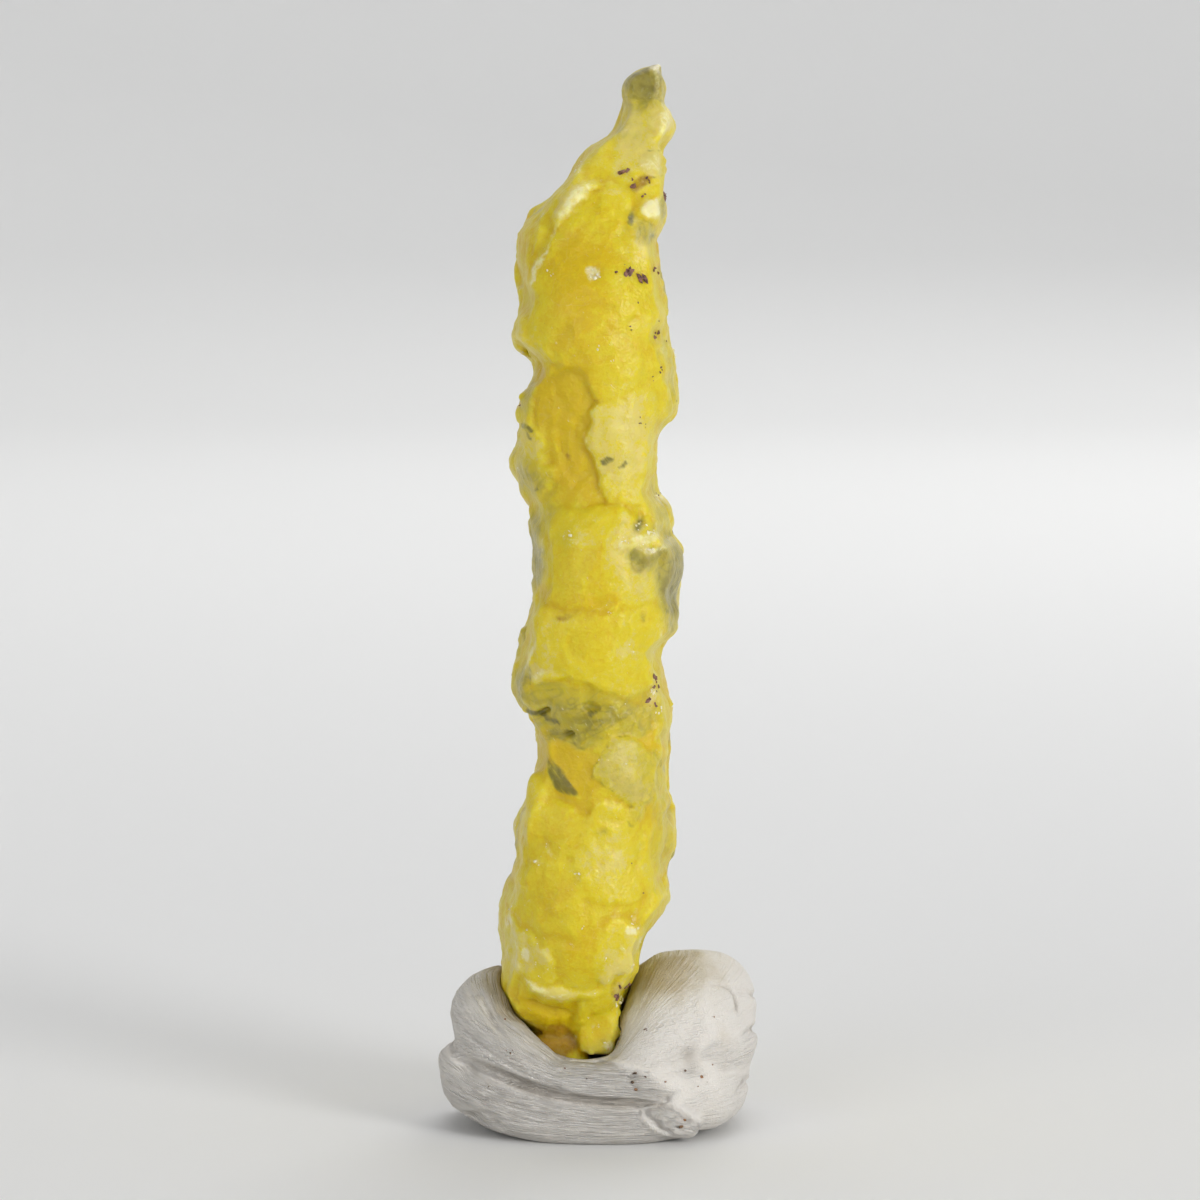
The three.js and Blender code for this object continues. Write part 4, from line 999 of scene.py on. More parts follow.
# What is added to the foot: across, up, how far back from the foremost point, radii, and lean.
FOOT_LOBES = [
    (-3.3, 0.8, 15.6, (3.2, 5.0, 2.2), 0),  # the floor of the arch
    (0.9, 4.3, 11.4, (2.2, 2.3, 3.5), 4),  # the broken tip
]


BRIDGED = 18  # how many of a field's points the fill beside a step can span
ABSENT = 1000.0  # stands for the depth where there is nothing


def bridge(values, inward, steepest):
    """A side's values with each step steeper than this filled in beside, so that no narrow cleft is left."""
    axis = int(np.argmax(np.abs(inward)))
    turned = np.moveaxis(values, axis, 2)[:, :, :: int(inward[axis])]
    solid = turned < 0
    there = solid.any(2)
    first = np.where(there, np.argmax(solid, 2), ABSENT)
    most = first
    for _ in range(BRIDGED):
        for side in (0, 1):
            for step in (1, -1):
                most = np.minimum(most, np.roll(most, step, side) + steepest)
    most = np.minimum(spread(np.where(there, most, first[there].max()), 0.5), first)
    column = np.arange(turned.shape[2])
    fill = (most[..., None] - column) * VOXEL / math.hypot(1, steepest)
    before = there[..., None] & (column <= first[..., None])
    filled = np.where(before, np.minimum(turned, fill), turned)[:, :, :: int(inward[axis])]
    return np.ascontiguousarray(np.moveaxis(filled, 2, axis))


OUTLINES = ((LEFT_OUTLINE, -1), (RIGHT_OUTLINE, 1))  # each with the way out from the middle
OUTLINE_DEPTH = 3  # how far behind the foremost point the outlines' heights are true
FIT_FOOT, FIT_TOP = (3, 5), (113, 111.5)  # the heights over which the fit fades in
MOST_SHIFT = 11  # in a field's points
LOBES_BEHIND = (15, 21)  # the depths over which ridges break up into lobes


def outline_at(outline, ups):
    """How far across an outline is at each height."""
    up, across = np.array(outline[::-1]).T
    return np.interp(ups, up, across)


def fit_outline(field):
    """Draws the field in or out sideways, row by row, until its outline seen from the front is the one given.
    Further back, whatever is drawn outwards comes and goes, so that it makes lobes and no ridge."""
    depths = (np.arange(field.values.shape[1]) + field.start[1]) * VOXEL - STONE_LOW[1]
    lifts = math.tan(math.radians(SIGHT_TILT)) * (depths - OUTLINE_DEPTH) / VOXEL
    lifts = np.round(lifts).astype(int)
    seen = np.full(field.values[:, 0].shape, np.inf)
    for depth, lift in enumerate(lifts):
        seen = np.minimum(seen, np.roll(field.values[:, depth], lift, 1))
    inside = seen < 0
    rows = np.arange(seen.shape[1])
    ups = (rows + field.start[2]) * VOXEL - STONE_LOW[2]
    column = np.arange(len(seen))[:, None]
    shift, lobes = np.zeros(seen.shape), np.zeros(seen.shape)
    ends = (np.argmax(inside, 0), len(seen) - 1 - np.argmax(inside[::-1], 0))
    for end, (outline, out) in zip(ends, OUTLINES):
        within, beyond = seen[end, rows], seen[np.clip(end + out, 0, len(seen) - 1), rows]
        with np.errstate(divide="ignore"):  # a row with no crystal in it has its edge nowhere
            edge = end + out * within / (within - beyond)
        target = (outline_at(outline, ups) + STONE_MIDDLE[0]) / VOXEL - field.start[0]
        amount = np.where(inside.any(0), np.clip(target - edge, -MOST_SHIFT, MOST_SHIFT), 0.0)
        amount = spread(amount * ease(ups, *FIT_FOOT) * ease(ups, *FIT_TOP), 0.4)
        centre = np.where(inside.any(0), inside.argmax(0) + inside.sum(0) / 2, 0)
        reach = ease((column - centre) * out, 0, np.maximum((edge + amount - centre) * out, 1))
        shift += amount * reach
        lobes += np.minimum(amount * out, spread(amount * out, 3.0)) * out * reach
    come_and_go = ease(rough((len(depths), len(rows)), 2.0, 9), -0.6, 0.9)
    come_and_go *= ease(depths, *LOBES_BEHIND)[:, None]
    for depth, lift in enumerate(lifts):
        moved = shift + (lobes - shift) * np.roll(come_and_go[depth], lift)
        source = np.clip(column - np.roll(moved, -lift, 1), 0, len(seen) - 1.001)
        cell = source.astype(int)
        part = source - cell
        low, high = (np.take_along_axis(field.values[:, depth], index, 0) for index in (cell, cell + 1))
        field.values[:, depth] = low * (1 - part) + high * part
    field.values = spread(field.values, 0.25)


# How a front plate's level and tone are scaled, how white its rim is, and how dark a clear one's line is.
LEVEL_SCALE, TONE_SCALE, RIM, LINE = 0.4, 0.65, 0.45, 0.6


def lay_front(field):
    """Covers the front with its own plates, and marks its patches."""
    side = Side("front", field, 10)
    even = side.evened(field.values, 0.85)
    across, up = np.array(RIDGE).T
    past = side.across - np.interp(side.up, up, across)
    side.maps["relief"] -= np.minimum(0.45 * np.maximum(past, 0), 0.7)
    for name, (level, tone, outline) in FRONT_PLATES.items():
        clear, line = CLEAR_PLATES.get(name, 0.0), LINE if name in OUTLINED else 0.0
        side.lay(outline, LEVEL_SCALE * level, TONE_SCALE * tone, RIM, clear, line)
    chance = np.random.default_rng(11)
    side.strew(chance, 130, (-9, 10), (9, 108), 0.06, (1.5, 3.2))
    side.strew(chance, 90, (-10, 28), (10, 108))
    side.strew(chance, 50, (-10, 8), (8, 28), 0.12)
    side.strew(chance, 26, (-1.6, 0.5), (4.4, 7.0), 0.3)  # the broken tip
    side.strew(chance, 14, (-8.5, 3.5), (-1.5, 7.0), 0.25)  # and the underside
    side.facet(3.2, 0.05, 0.05, 12)
    side.facet(1.2, 0.025, 0.06, 13)
    side.maps["relief"] += even * (0.7 + 0.3 * ease(past, 0.6, 0.0)) + 0.3 * side.swell
    for outline, out in OUTLINES:
        side.maps["relief"] *= ease((outline_at(outline, side.up) - side.across) * out, 0.0, 1.4)
    side.mark("frost", ..., 0.35 * np.exp(-(((past + 0.2) / 0.3) ** 2)))
    for kind, rows in FRONT_PATCHES.items():
        for row in rows:
            side.blot(kind, *row)
    side.settle()
    return side


# The layers of plates on the other sides: how many on a broad side, how wide, and how far each can stand out.
PLATE_LAYERS = ((12, (6.0, 9.5), 0.7), (40, (3.0, 6.0), 0.4), (70, (1.5, 3.2), 0.2))

# The patches on the other sides, in the order they are marked, and how strong each kind can be.
PATCH_STRENGTHS = {"frost": 0.6, "dark": 0.6, "tan": 0.5, "green": 0.9, "pale": 0.6, "deep": 0.9}
PATCHES, CHIPS = 16, 130  # how many of each kind, and of each size, on a broad side
BESIDE_FRONT = (2.5, 8)  # how far behind the foremost point their relief fades in


def lobed(centre, size, turn):
    """The outline of a plate with a few rounded lobes, a little taller than wide."""
    around = np.arange(13) / 13 * 2 * math.pi
    radius = size * (1 + 0.16 * np.sin(3 * around + turn) + 0.09 * np.sin(5 * around + 2.3 * turn))
    return centre + np.stack([np.cos(around), 1.3 * np.sin(around)], 1) * radius[:, None]


def lay_by_chance(name, field, seed, half_width):
    """Covers a side with overlapping lobed plates, and leaves the edge it shares with the front alone."""
    side = Side(name, field, seed)
    even = side.evened(field.values, 0.7)
    chance = np.random.default_rng(seed)
    top = STONE_HIGH[2] - STONE_LOW[2]
    share = half_width / BROAD
    for count, sizes, step in PLATE_LAYERS:
        for _ in range(int(count * share)):
            centre = chance.uniform((-half_width, 1), (half_width, top))
            turn, size = chance.uniform(0, 2 * math.pi), chance.uniform(*sizes)
            clear = chance.uniform(0.3, 0.8) if chance.uniform() < 0.14 else 0.0
            level = side.read("relief", side.spot(centre))[0] + step * chance.uniform(-0.5, 1)
            tone, rim = chance.uniform(-0.7, 0.7), chance.uniform(0.2, 0.6)
            side.lay(lobed(centre, size, turn), level, tone, rim, clear)
    for kind, strength in PATCH_STRENGTHS.items():
        large = 2.6 if kind in BROAD_KINDS else 1.0
        least, most = (0.4 * large, 0.5 * large, -50), (1.3 * large, 1.8 * large, 50)
        for _ in range(int(PATCHES * share)):
            centre = chance.uniform((-half_width, 3), (half_width, top - 3))
            width, height, lean = chance.uniform(least, most)
            side.blot(kind, *centre, width, height, lean, chance.uniform(0.3, 1.0) * strength)
    for row in CLEAR_ZONES.get(name, ()):
        side.blot("green", *row)
    low, high = (-half_width, 2), (half_width, 108)
    side.strew(chance, int(CHIPS * share), low, high, 0.08, (1.5, 3.2))
    side.strew(chance, int(CHIPS * share), low, high)
    side.facet(3.2, 0.07, 0.07, seed + 12)
    side.facet(1.2, 0.03, 0.07, seed + 13)
    side.maps["relief"] += even + 0.5 * side.swell
    side.settle()
    if name in ("left", "right"):
        from_front = side.across * side.sign + (STONE_HIGH[1] - STONE_LOW[1]) / 2
        side.maps["relief"] *= ease(from_front, *BESIDE_FRONT)
    return side


def grow_specimen():
    """The specimen's field, and its sides."""
    field = Field("brucite_specimen")
    for name, steepest in (("front", 1.3), ("right", 1.4), ("left", 1.4), ("back", 1.6)):
        field.values = bridge(field.values, SIDES[name][1], steepest)
    field.values = spread(field.values, 0.35)
    sides = [
        lay_by_chance("right", field, 20, BROAD),
        lay_by_chance("back", field, 30, NARROW),
        lay_by_chance("left", field, 40, BROAD),
    ]
    for side in sides:
        field.values = side.stand_out(field.values)
    for side in sides:
        field.values = bridge(field.values, side.inward, 1.5)
    fit_outline(field)
    front = lay_front(field)
    field.values = front.stand_out(field.values)
    for across, up, half_width, half_height, lean, deep in FILLS:
        surface = field.face("front", across, up, STONE_FOOT)
        radii = np.array([half_width, deep + 0.3, half_height])
        field.grow(Lobe(surface + [0, deep, 0], radii, (0, -lean, 0)), 1.6)
    for across, up, half_width, half_height, lean, deep in HOLLOWS:
        surface = field.face("front", across, up, STONE_FOOT)
        if surface is not None:
            radii = np.array([half_width, deep, half_height])
            field.carve(Lobe(surface, radii, (0, -lean, 0), 2.3), 0.5)
    for across, up, back, radii, lean in FOOT_LOBES:
        centre = STONE_LOW + [across + STONE_MIDDLE[0] - STONE_LOW[0], back, up]
        field.grow(Lobe(centre, np.array(radii), (0, lean, 0), 5.0), 0.4)
    chance = np.random.default_rng(50)
    for _ in range(26):  # the broken tip's small blocks
        turn, offset = chance.uniform(-60, 60, 3), chance.uniform(-1, 1, 3) * (2.0, 1.9, 3.2)
        field.grow(Lobe(centre + offset, chance.uniform(0.4, 0.9, 3), turn, 6.0), 0.08)
    drop_islands(field)
    return field, [front, *sides]


def make_specimen(field, sides):
    """The specimen's mesh, with what its material reads kept at each point."""
    made = new_object("brucite_crystals", *largest_body(*field.skin()))
    points = points_of(made)
    frontal = ease(points[:, 1], STONE_LOW[1] + 10, STONE_LOW[1] + 4)
    push(made, lumps(points, 2.0, 1) * (0.12 - 0.09 * frontal) + lumps(points, 0.8, 2) * 0.04 - 0.03)
    thin(made, MOST_STONE_TRIANGLES)
    points = points_of(made)
    soft = spread(field.values, 1.2)
    # crest and thin are read by the material for painted shade in hollows and a painted glow and greying at
    # thin edges
    keep(made, "crest", np.clip(0.5 + 0.9 * field.read(points, soft), 0, 1))
    keep(made, "thin", ease(field.read(points, spread(field.values, 2.4)), 0.25, 1.1))
    slope = field.slope(points, soft)
    weights = [np.maximum(-slope @ side.inward, 0.02) ** 2 for side in sides]
    weights[0] += 8 * ease(-slope @ sides[0].inward, 0.02, 0.3)
    for kind in KINDS:
        found = sum(weight * side.read(kind, points) for weight, side in zip(weights, sides))
        found /= sum(weights)
        keep(made, kind, 0.5 + 0.5 * found if kind == "tone" else found)
    finish(made, brucite_look(), "brucite_specimen")


# Colours of the specimen, from thick clear yellow to the frosted and the grey-green, see-through crystal. The
# greys and greens are partly painted shade: the dark that clear and thin crystal lets show through.
DEEP = (0.66, 0.48, 0.002)
YELLOW = (0.70, 0.58, 0.018)
PALE = (0.70, 0.595, 0.16)
FROST = (0.83, 0.79, 0.48)
# GREEN and GREY are partly painted shade, the dark seen through clear and thin crystal
GREEN = (0.42, 0.34, 0.012)
GREY = (0.46, 0.41, 0.07)
DARK = (0.13, 0.12, 0.03)
CLEAR = (0.42, 0.37, 0.05)
# TAN is real tan stains, and also painted shade in the arch at the foot
TAN = (0.32, 0.15, 0.006)
# painted shade: the near black seen through the clearest crystal
SEE_THROUGH_SHADE = (0.17, 0.15, 0.025)

BRUCITE_IOR = 1.57


def brucite_look():
    """Cloudy yellow crystal, and in its green zones some clear crystal; with painted shade in hollows and
    clear zones, a painted glow at thin edges and painted glints.
    """
    look = Look("brucite")
    place = look.place()
    crest, tone = look.kept("crest"), look.kept("tone")
    cloud = look.noise(place, 6.0, 4.0, 0.6, 1.2)
    wisp = look.noise(look.stretch(place, (1.0, 1.0, 0.6), 30), 1.7, 4.0, 0.65, 1.5)
    speck = look.noise(place, 0.6, 3.0, 0.7)
    grain = look.noise(place, 0.22, 2.0, 0.7)
    bent = look.bend(place, 1.0, 0.5)
    facet = look.cells(bent, 0.42, output="Color")
    crystal = look.cells(bent, 1.3, output="Color")

    # painted shade: hollows, where crest is low, are a deeper yellow
    depth = tone + (cloud - 0.5) * 0.8 + (wisp - 0.5) * 0.7 + (0.5 - crest) * 0.3
    depth = depth + (speck - 0.5) * 0.5
    depth = depth + (grain - 0.5) * 0.6 + (facet - 0.5) * 0.2 + (crystal - 0.5) * 0.24
    seam = look.cells(look.bend(place, 2.0, 1.2), 2.6, "DISTANCE_TO_EDGE").step(0.05, 0.0)
    seam = seam * wisp.step(0.42, 0.6)
    fine_seam = look.cells(bent, 1.0, "DISTANCE_TO_EDGE").step(0.09, 0.0) * cloud.step(0.5, 0.62)
    # pale flecks: partly white flecks, partly painted glints
    flecks_and_glints = look.noise(look.stretch(place, (2.2, 2.2, 0.8), 35), 0.9, 2.0, 0.6).step(0.66, 0.74)
    flecks_and_glints = flecks_and_glints * wisp.step(0.45, 0.6)
    green = (look.kept("green") * (0.55 + wisp * 0.9)).step(0.08, 0.95)
    streaks = look.noise(look.stretch(place, (3.4, 1.0, 0.35), 38), 1.3, 2.0, 0.5)
    dark = (look.kept("dark") * (0.2 + wisp * 0.6 + streaks * 1.3)).step(0.3, 1.0)
    # the crest term paints light on convex edges, a painted glow; the rest is the frost marks
    frost = (look.kept("frost") * (0.1 + speck * 1.9) + (crest - 0.72) * 1.2 * speck).step(0.14, 0.8)
    tan = (look.kept("tan") * (0.4 + speck * 1.2)).step(0.2, 0.9)
    vein = look.threads(look.stretch(place, (1.0, 1.0, 1.6), 25), 3.4, 0.45, 1.2)
    gleam = look.threads(look.stretch(place, (1.0, 1.0, 0.6), 38), 2.2, 0.5, 1.0)

    tint = look.mix(depth.step(0.42, 0.95), YELLOW, DEEP)
    # thin parts paler, a painted glow, and greyer, painted shade seen through them
    tint = look.mix((depth.step(0.5, 0.0) + look.kept("thin") * 0.35).step(0.0, 1.0), tint, PALE)
    tint = look.mix((look.kept("thin") * (0.2 + wisp)).step(0.35, 1.0) * 0.5, tint, GREY)
    # green zones darkened to grey-green, and where clearest to a near black: painted shade seen through clear
    # crystal, over its own green tint
    tint = look.mix(green * 0.92, tint, look.mix(wisp.step(0.42, 0.68), GREEN, GREY))
    tint = look.mix(look.kept("green").step(0.6, 1.0) * 0.7, tint, SEE_THROUGH_SHADE)
    tint = look.mix(green * vein * 0.4, tint, DARK)
    tint = look.mix(green * gleam * 0.25, tint, PALE)
    tint = look.mix(dark * 0.8, tint, DARK)
    # tan: real stains, and the painted shade in the arch at the foot
    tint = look.mix(tan * 0.75, tint, TAN)
    frosted = (frost * 0.7 + flecks_and_glints * 0.45 + seam * 0.15 + fine_seam * 0.12).step(0.0, 1.0)
    tint = look.mix(frosted, tint, FROST)

    height = grain * 0.5 + look.cells(bent, 0.42) * 0.4 + speck * 0.5 + flecks_and_glints * 0.5
    normal = look.bump(height, 0.14, 0.7)
    cloudy = look.principled({
        "Base Color": tint,
        "Roughness": 0.22 + speck * 0.25 + frost * 0.15,
        "IOR": BRUCITE_IOR,
        "Specular IOR Level": 0.32,
        "Subsurface Weight": 0.9,
        "Subsurface Radius": (1.0, 0.8, 0.2),
        "Subsurface Scale": 2.3 * MM,
        "Subsurface Anisotropy": 0.3,
        "Normal": normal,
    })
    clear = look.principled({
        "Base Color": look.mix(dark, CLEAR, DARK),
        "Roughness": 0.2 + speck * 0.2,
        "IOR": BRUCITE_IOR,
        "Transmission Weight": 1.0,
        "Normal": normal,
    })
    return look.finish(look.node("ShaderNodeMixShader", {}, [green * 0.08, cloudy, clear]))


# ---- the putty ----

# Rolls folded into the lump: how softly each joins the rest, how plain its drawn-out lines are, and points
# along it, as across, forward, up and radius.
ROLLS = {
    "ramp": (0.5, 1.0, [
        (-10.8, 4, 12.0, 4.8), (-12.1, -2, 12.3, 4.4), (-11.5, -6.6, 10.3, 3.8), (-8.4, -10.0, 8.2, 3.3),
        (-4.8, -12.2, 6.6, 2.6), (-0.8, -13.0, 6.3, 2.5), (3.6, -13.2, 6.0, 2.3), (7.5, -12.4, 5.4, 2.3),
    ]),
    "lower": (0.4, 1.0, [
        (-13.8, 5, 5.7, 3.5), (-14.3, -3.6, 5.2, 3.3), (-11.8, -8.8, 3.9, 3.1), (-7.0, -12.2, 2.9, 2.9),
        (-1.5, -13.4, 2.3, 2.6), (4, -13.4, 2.1, 2.3), (8.6, -12.4, 2.1, 1.7),
    ]),
    "knuckle": (1.6, 0.4, [(5.0, -12.6, 6.9, 1.6), (7.4, -12.0, 6.6, 2.3), (10.0, -9.8, 6.8, 3.0)]),
    "dome": (2.0, 0.4, [
        (3.2, -11.6, 7.0, 2.4), (6.2, -9.4, 9.4, 4.3), (8.4, -5.2, 12.0, 5.9), (9.0, 0, 12.9, 6.2),
        (8.4, 5.5, 12.0, 6.0), (5.5, 10.5, 9.6, 5.4),
    ]),
    "dome_end": (2.2, 0.2, [(12.0, -6.4, 12.6, 3.9), (12.5, -1, 13.7, 5.0), (12.0, 5, 12.6, 5.0)]),
    "right_middle": (0.9, 0.5, [
        (11.4, -9.2, 8.6, 2.8), (13.2, -4.5, 9.4, 3.9), (13.2, 3, 9.0, 4.2), (11.5, 9, 8.0, 4.6),
    ]),
    "right_foot": (1.4, 0.4, [
        (8.8, -11.8, 3.9, 2.9), (11.4, -8.2, 4.5, 3.9), (12.2, -2, 4.6, 4.3), (11.8, 4, 4.8, 4.6),
        (9.0, 11, 5.0, 4.8),
    ]),
    "knot": (0.9, 0.5, [(5.6, -15.0, 3.4, 0.8), (7.8, -14.8, 2.7, 1.5), (9.8, -13.6, 1.9, 1.3)]),
    "back": (0.5, 0.8, [(-11.0, 5, 9.4, 5.2), (-6, 11, 8.4, 5.2), (2, 12.6, 8.4, 5.2), (8, 10, 8.6, 5.4)]),
    "back_foot": (0.5, 0.7, [
        (-11.6, 6, 3.8, 4.2), (-6, 11.6, 3.6, 4.4), (2, 12.8, 3.6, 4.4), (8, 10.6, 3.8, 4.4),
    ]),
}

DRAWN_IN = 1.7  # how far inside the solid's skin the rolls' bed lies
GAP = 0.08  # between the putty and the specimen pressed into it

KNOT = np.array([8.2, -14.8, 2.6])  # where the lower roll's end is crumpled
STAINED = np.array([7.5, -5.0, 17.0])  # the middle of the stain beside the specimen
BOWL = Lobe(np.array([-1.6, -8.2, 11.2]), np.array([4.6, 4.4, 2.9]))  # before the specimen's foot
BOWL_WALL = Lobe(np.array([4.6, -7.4, 9.6]), np.array([3.1, 3.6, 4.2]))  # up to the specimen's tip
ROLL_CORNER = Lobe(np.array([-15.6, -3.5, 7.6]), np.array([2.2, 5.0, 1.6]))  # on the lower roll

# Creases pressed into the lump's sides: points along each, as across, up and radius.
CREASES = {
    "front": [
        [
            (-14.2, 8.5, 0.15), (-12.8, 8.0, 0.5), (-11.2, 7.4, 0.8), (-7.5, 6.0, 0.9), (-3.7, 5.2, 0.8),
            (0.8, 4.8, 0.5), (5.3, 4.6, 0.4), (8.3, 4.0, 0.35), (10.1, 2.6, 0.2),
        ],
        [(-14.2, 4.9, 0.2), (-13.2, 4.6, 0.35), (-11.8, 5.0, 0.35), (-9.5, 4.2, 0.3), (-6.0, 3.2, 0.2)],
        [(-14.8, 2.2, 0.35), (-12.4, 2.9, 0.35), (-10.6, 1.6, 0.3)],
        [(7.2, 3.4, 0.1), (8.4, 2.6, 0.2), (8.9, 1.6, 0.1)],
        [(4.6, 3.6, 0.15), (5.8, 2.9, 0.3), (6.9, 1.7, 0.25)],
        [(12.2, 16.6, 0.1), (13.8, 16.4, 0.3), (15.0, 15.4, 0.35), (15.4, 13.8, 0.3)],
        [(3.8, 8.0, 0.25), (3.4, 7.2, 0.35), (3.9, 6.3, 0.3)],
        [(-15.8, 12.2, 0.2), (-12.2, 9.8, 0.25), (-8.6, 7.8, 0.25), (-4.4, 6.5, 0.2)],
        [(-14.2, 15.0, 0.2), (-13.0, 15.2, 0.3), (-12.2, 13.6, 0.3), (-10.6, 11.2, 0.2)],
    ],
    "right": [
        [(-8, 10.9, 0.15), (-5, 11.1, 0.4), (0, 10.4, 0.5), (7, 9.0, 0.5), (14, 9.8, 0.4)],
        [(-10, 4.6, 0.1), (-5, 5.4, 0.4), (4, 3.6, 0.4), (13, 4.6, 0.4)],
        [(-6, 15.6, 0.3), (0, 14.0, 0.4), (6, 14.4, 0.3)],
    ],
    "back": [
        [(-15, 9.2, 0.4), (-8, 7.4, 0.5), (0, 8.6, 0.5), (8, 6.8, 0.5), (15, 8.4, 0.4)],
        [(-12, 4.2, 0.3), (-4, 3.2, 0.4), (6, 4.4, 0.4), (13, 3.2, 0.3)],
        [(-10, 12.8, 0.3), (-3, 11.6, 0.4), (5, 12.6, 0.3)],
    ],
    "left": [
        [(-13, 8.6, 0.4), (-6, 9.8, 0.5), (2, 8.2, 0.5), (5, 9.1, 0.1)],
        [(-11, 4.4, 0.3), (-1, 5.6, 0.4), (5, 4.8, 0.1)],
    ],
}


class Roll:
    """A round roll along a path, thicker and thinner along the way."""

    def __init__(self, points, pieces=8):
        self.points = smooth_path(points, pieces)
        most = self.points[:, 3].max()
        self.low = self.points[:, :3].min(0) - most
        self.high = self.points[:, :3].max(0) + most

    def nearest(self, x, y, z):
        """Distance to the roll's skin, how far along it, and the turn round its middle."""
        best, along, turn, walked = np.inf, 0.0, 0.0, 0.0
        for a, b in zip(self.points, self.points[1:]):
            step = b[:3] - a[:3]
            length = np.linalg.norm(step)
            ahead = step / length
            offset = [x - a[0], y - a[1], z - a[2]]
            share = np.clip(sum(o * s for o, s in zip(offset, ahead)) / length, 0, 1)
            rest = [o - share * s for o, s in zip(offset, step)]
            distance = np.sqrt(sum(r * r for r in rest)) - (a[3] + share * (b[3] - a[3]))
            out = np.hypot(a[0], a[1])
            angle = np.arctan2(rest[2], (rest[0] * a[0] + rest[1] * a[1]) / out)
            nearer = distance < best
            best = np.where(nearer, distance, best)
            along = np.where(nearer, walked + share * length, along)
            turn = np.where(nearer, angle, turn)
            walked += length
        return best, along, turn

    def distance(self, x, y, z):
        return self.nearest(x, y, z)[0]


def knead_putty(stone):
    """The lump's field and its rolls: the solid drawn in, rolls over it, creases and the specimen's print."""
    field = Field("putty_lump")
    field.values = spread(field.values, 0.6) + DRAWN_IN
    rolls = [Roll(points) for _, _, points in ROLLS.values()]
    for roll, (blend, _, _) in zip(rolls, ROLLS.values()):
        field.grow(roll, blend)
    for side, rows in CREASES.items():
        for row in rows:
            row = smooth_path(row, 6)
            found = [field.face(side, across, up, PUTTY_FOOT) for across, up, _ in row]
            path = [(*point, radius) for point, (_, _, radius) in zip(found, row) if point is not None]
            if len(path) > 1:
                field.carve(Roll(path, 1), 0.4)
    field.carve(BOWL, 0.5)
    field.grow(BOWL_WALL, 1.4)
    field.grow(ROLL_CORNER, 1.6)
    chance = np.random.default_rng(61)
    for _ in range(4):
        before = KNOT + [chance.normal(0, 1.3), -20, chance.normal(0, 0.9)]
        pit = field.meet(before, SIDES["front"][1])  # where the knot is crumpled
        field.carve(Lobe(pit, chance.uniform(0.2, 0.55, 3), chance.uniform(-90, 90, 3)), 0.15)
    x, y, z = field.axes((0, 0, 0), field.values.shape)
    grid = np.stack(np.broadcast_arrays(x, y, z), -1).reshape(-1, 3)
    pressed = stone.read(grid).reshape(field.values.shape)
    pressed[:, :, z.ravel() < STONE_LOW[2] - 2] = BAND
    field.values = np.maximum(field.values, GAP - pressed)
    field.values = np.maximum(field.values, PUTTY_LOW[2] - z).astype(np.float32)
    drop_islands(field)
    return field, rolls


ARC = 5.0  # how far across the lines one radian round a roll counts for
APART = 40.0  # sets each roll's lines off from the next one's


def flow(rolls, points):
    """For each point, how far across and along the putty's drawn-out lines it is, and how plain they are."""
    found = np.array([roll.nearest(*points.T) for roll in rolls])
    nearest = np.argmin(found[:, 0], axis=0)
    pick = np.arange(len(points))
    first, second = np.sort(found[:, 0], axis=0)[:2]
    plain = np.array([plain for _, plain, _ in ROLLS.values()])[nearest] * ease(second - first, 0.05, 1.0)
    return found[nearest, 2, pick] * ARC, found[nearest, 1, pick] + nearest * APART, plain


def make_putty(field, rolls, stone):
    """The lump's mesh, with what its material reads kept at each point."""
    made = new_object("putty_body", *largest_body(*field.skin()))
    points = points_of(made)
    across, along, plain = flow(rolls, points)
    lines = noise_at(np.stack([across, along * 0.1, 0 * along], 1), 0.9, 4)
    off_table = ease(points[:, 2], PUTTY_LOW[2] + 0.3, PUTTY_LOW[2] + 1.5)
    crumple = ease(np.linalg.norm(points - KNOT, axis=1), 4.0, 1.4)
    wander = 0.25 * noise_at(points, 5, 5) + 0.07 * noise_at(points, 1.6, 6)
    crumple = crumple * (0.22 * noise_at(points, 0.7, 7) + 0.12 * noise_at(points, 1.8, 8))
    push(made, off_table * (0.11 * lines * plain + wander + crumple))
    thin(made, MOST_PUTTY_TRIANGLES)
    points = points_of(made)
    across, along, plain = flow(rolls, points)
    keep(made, "flow_across", across)
    keep(made, "flow_along", along)
    keep(made, "plain", plain)
    # crest is read by the material for painted shade in the creases
    keep(made, "crest", np.clip(0.5 + 0.8 * field.read(points, spread(field.values, 0.9)), 0, 1))
    stained = 0.85 * ease(np.linalg.norm(points - STAINED, axis=1), 8.0, 2.0)
    keep(made, "stain", np.maximum(ease(stone.read(points), 2.3, 0.1), stained))
    finish(made, putty_look(), "putty_lump")


PUTTY = (0.73, 0.695, 0.645)
PUTTY_SHADE = (0.40, 0.36, 0.31)
PUTTY_STAIN = (0.44, 0.36, 0.215)
PUTTY_LIGHT = (0.80, 0.775, 0.735)


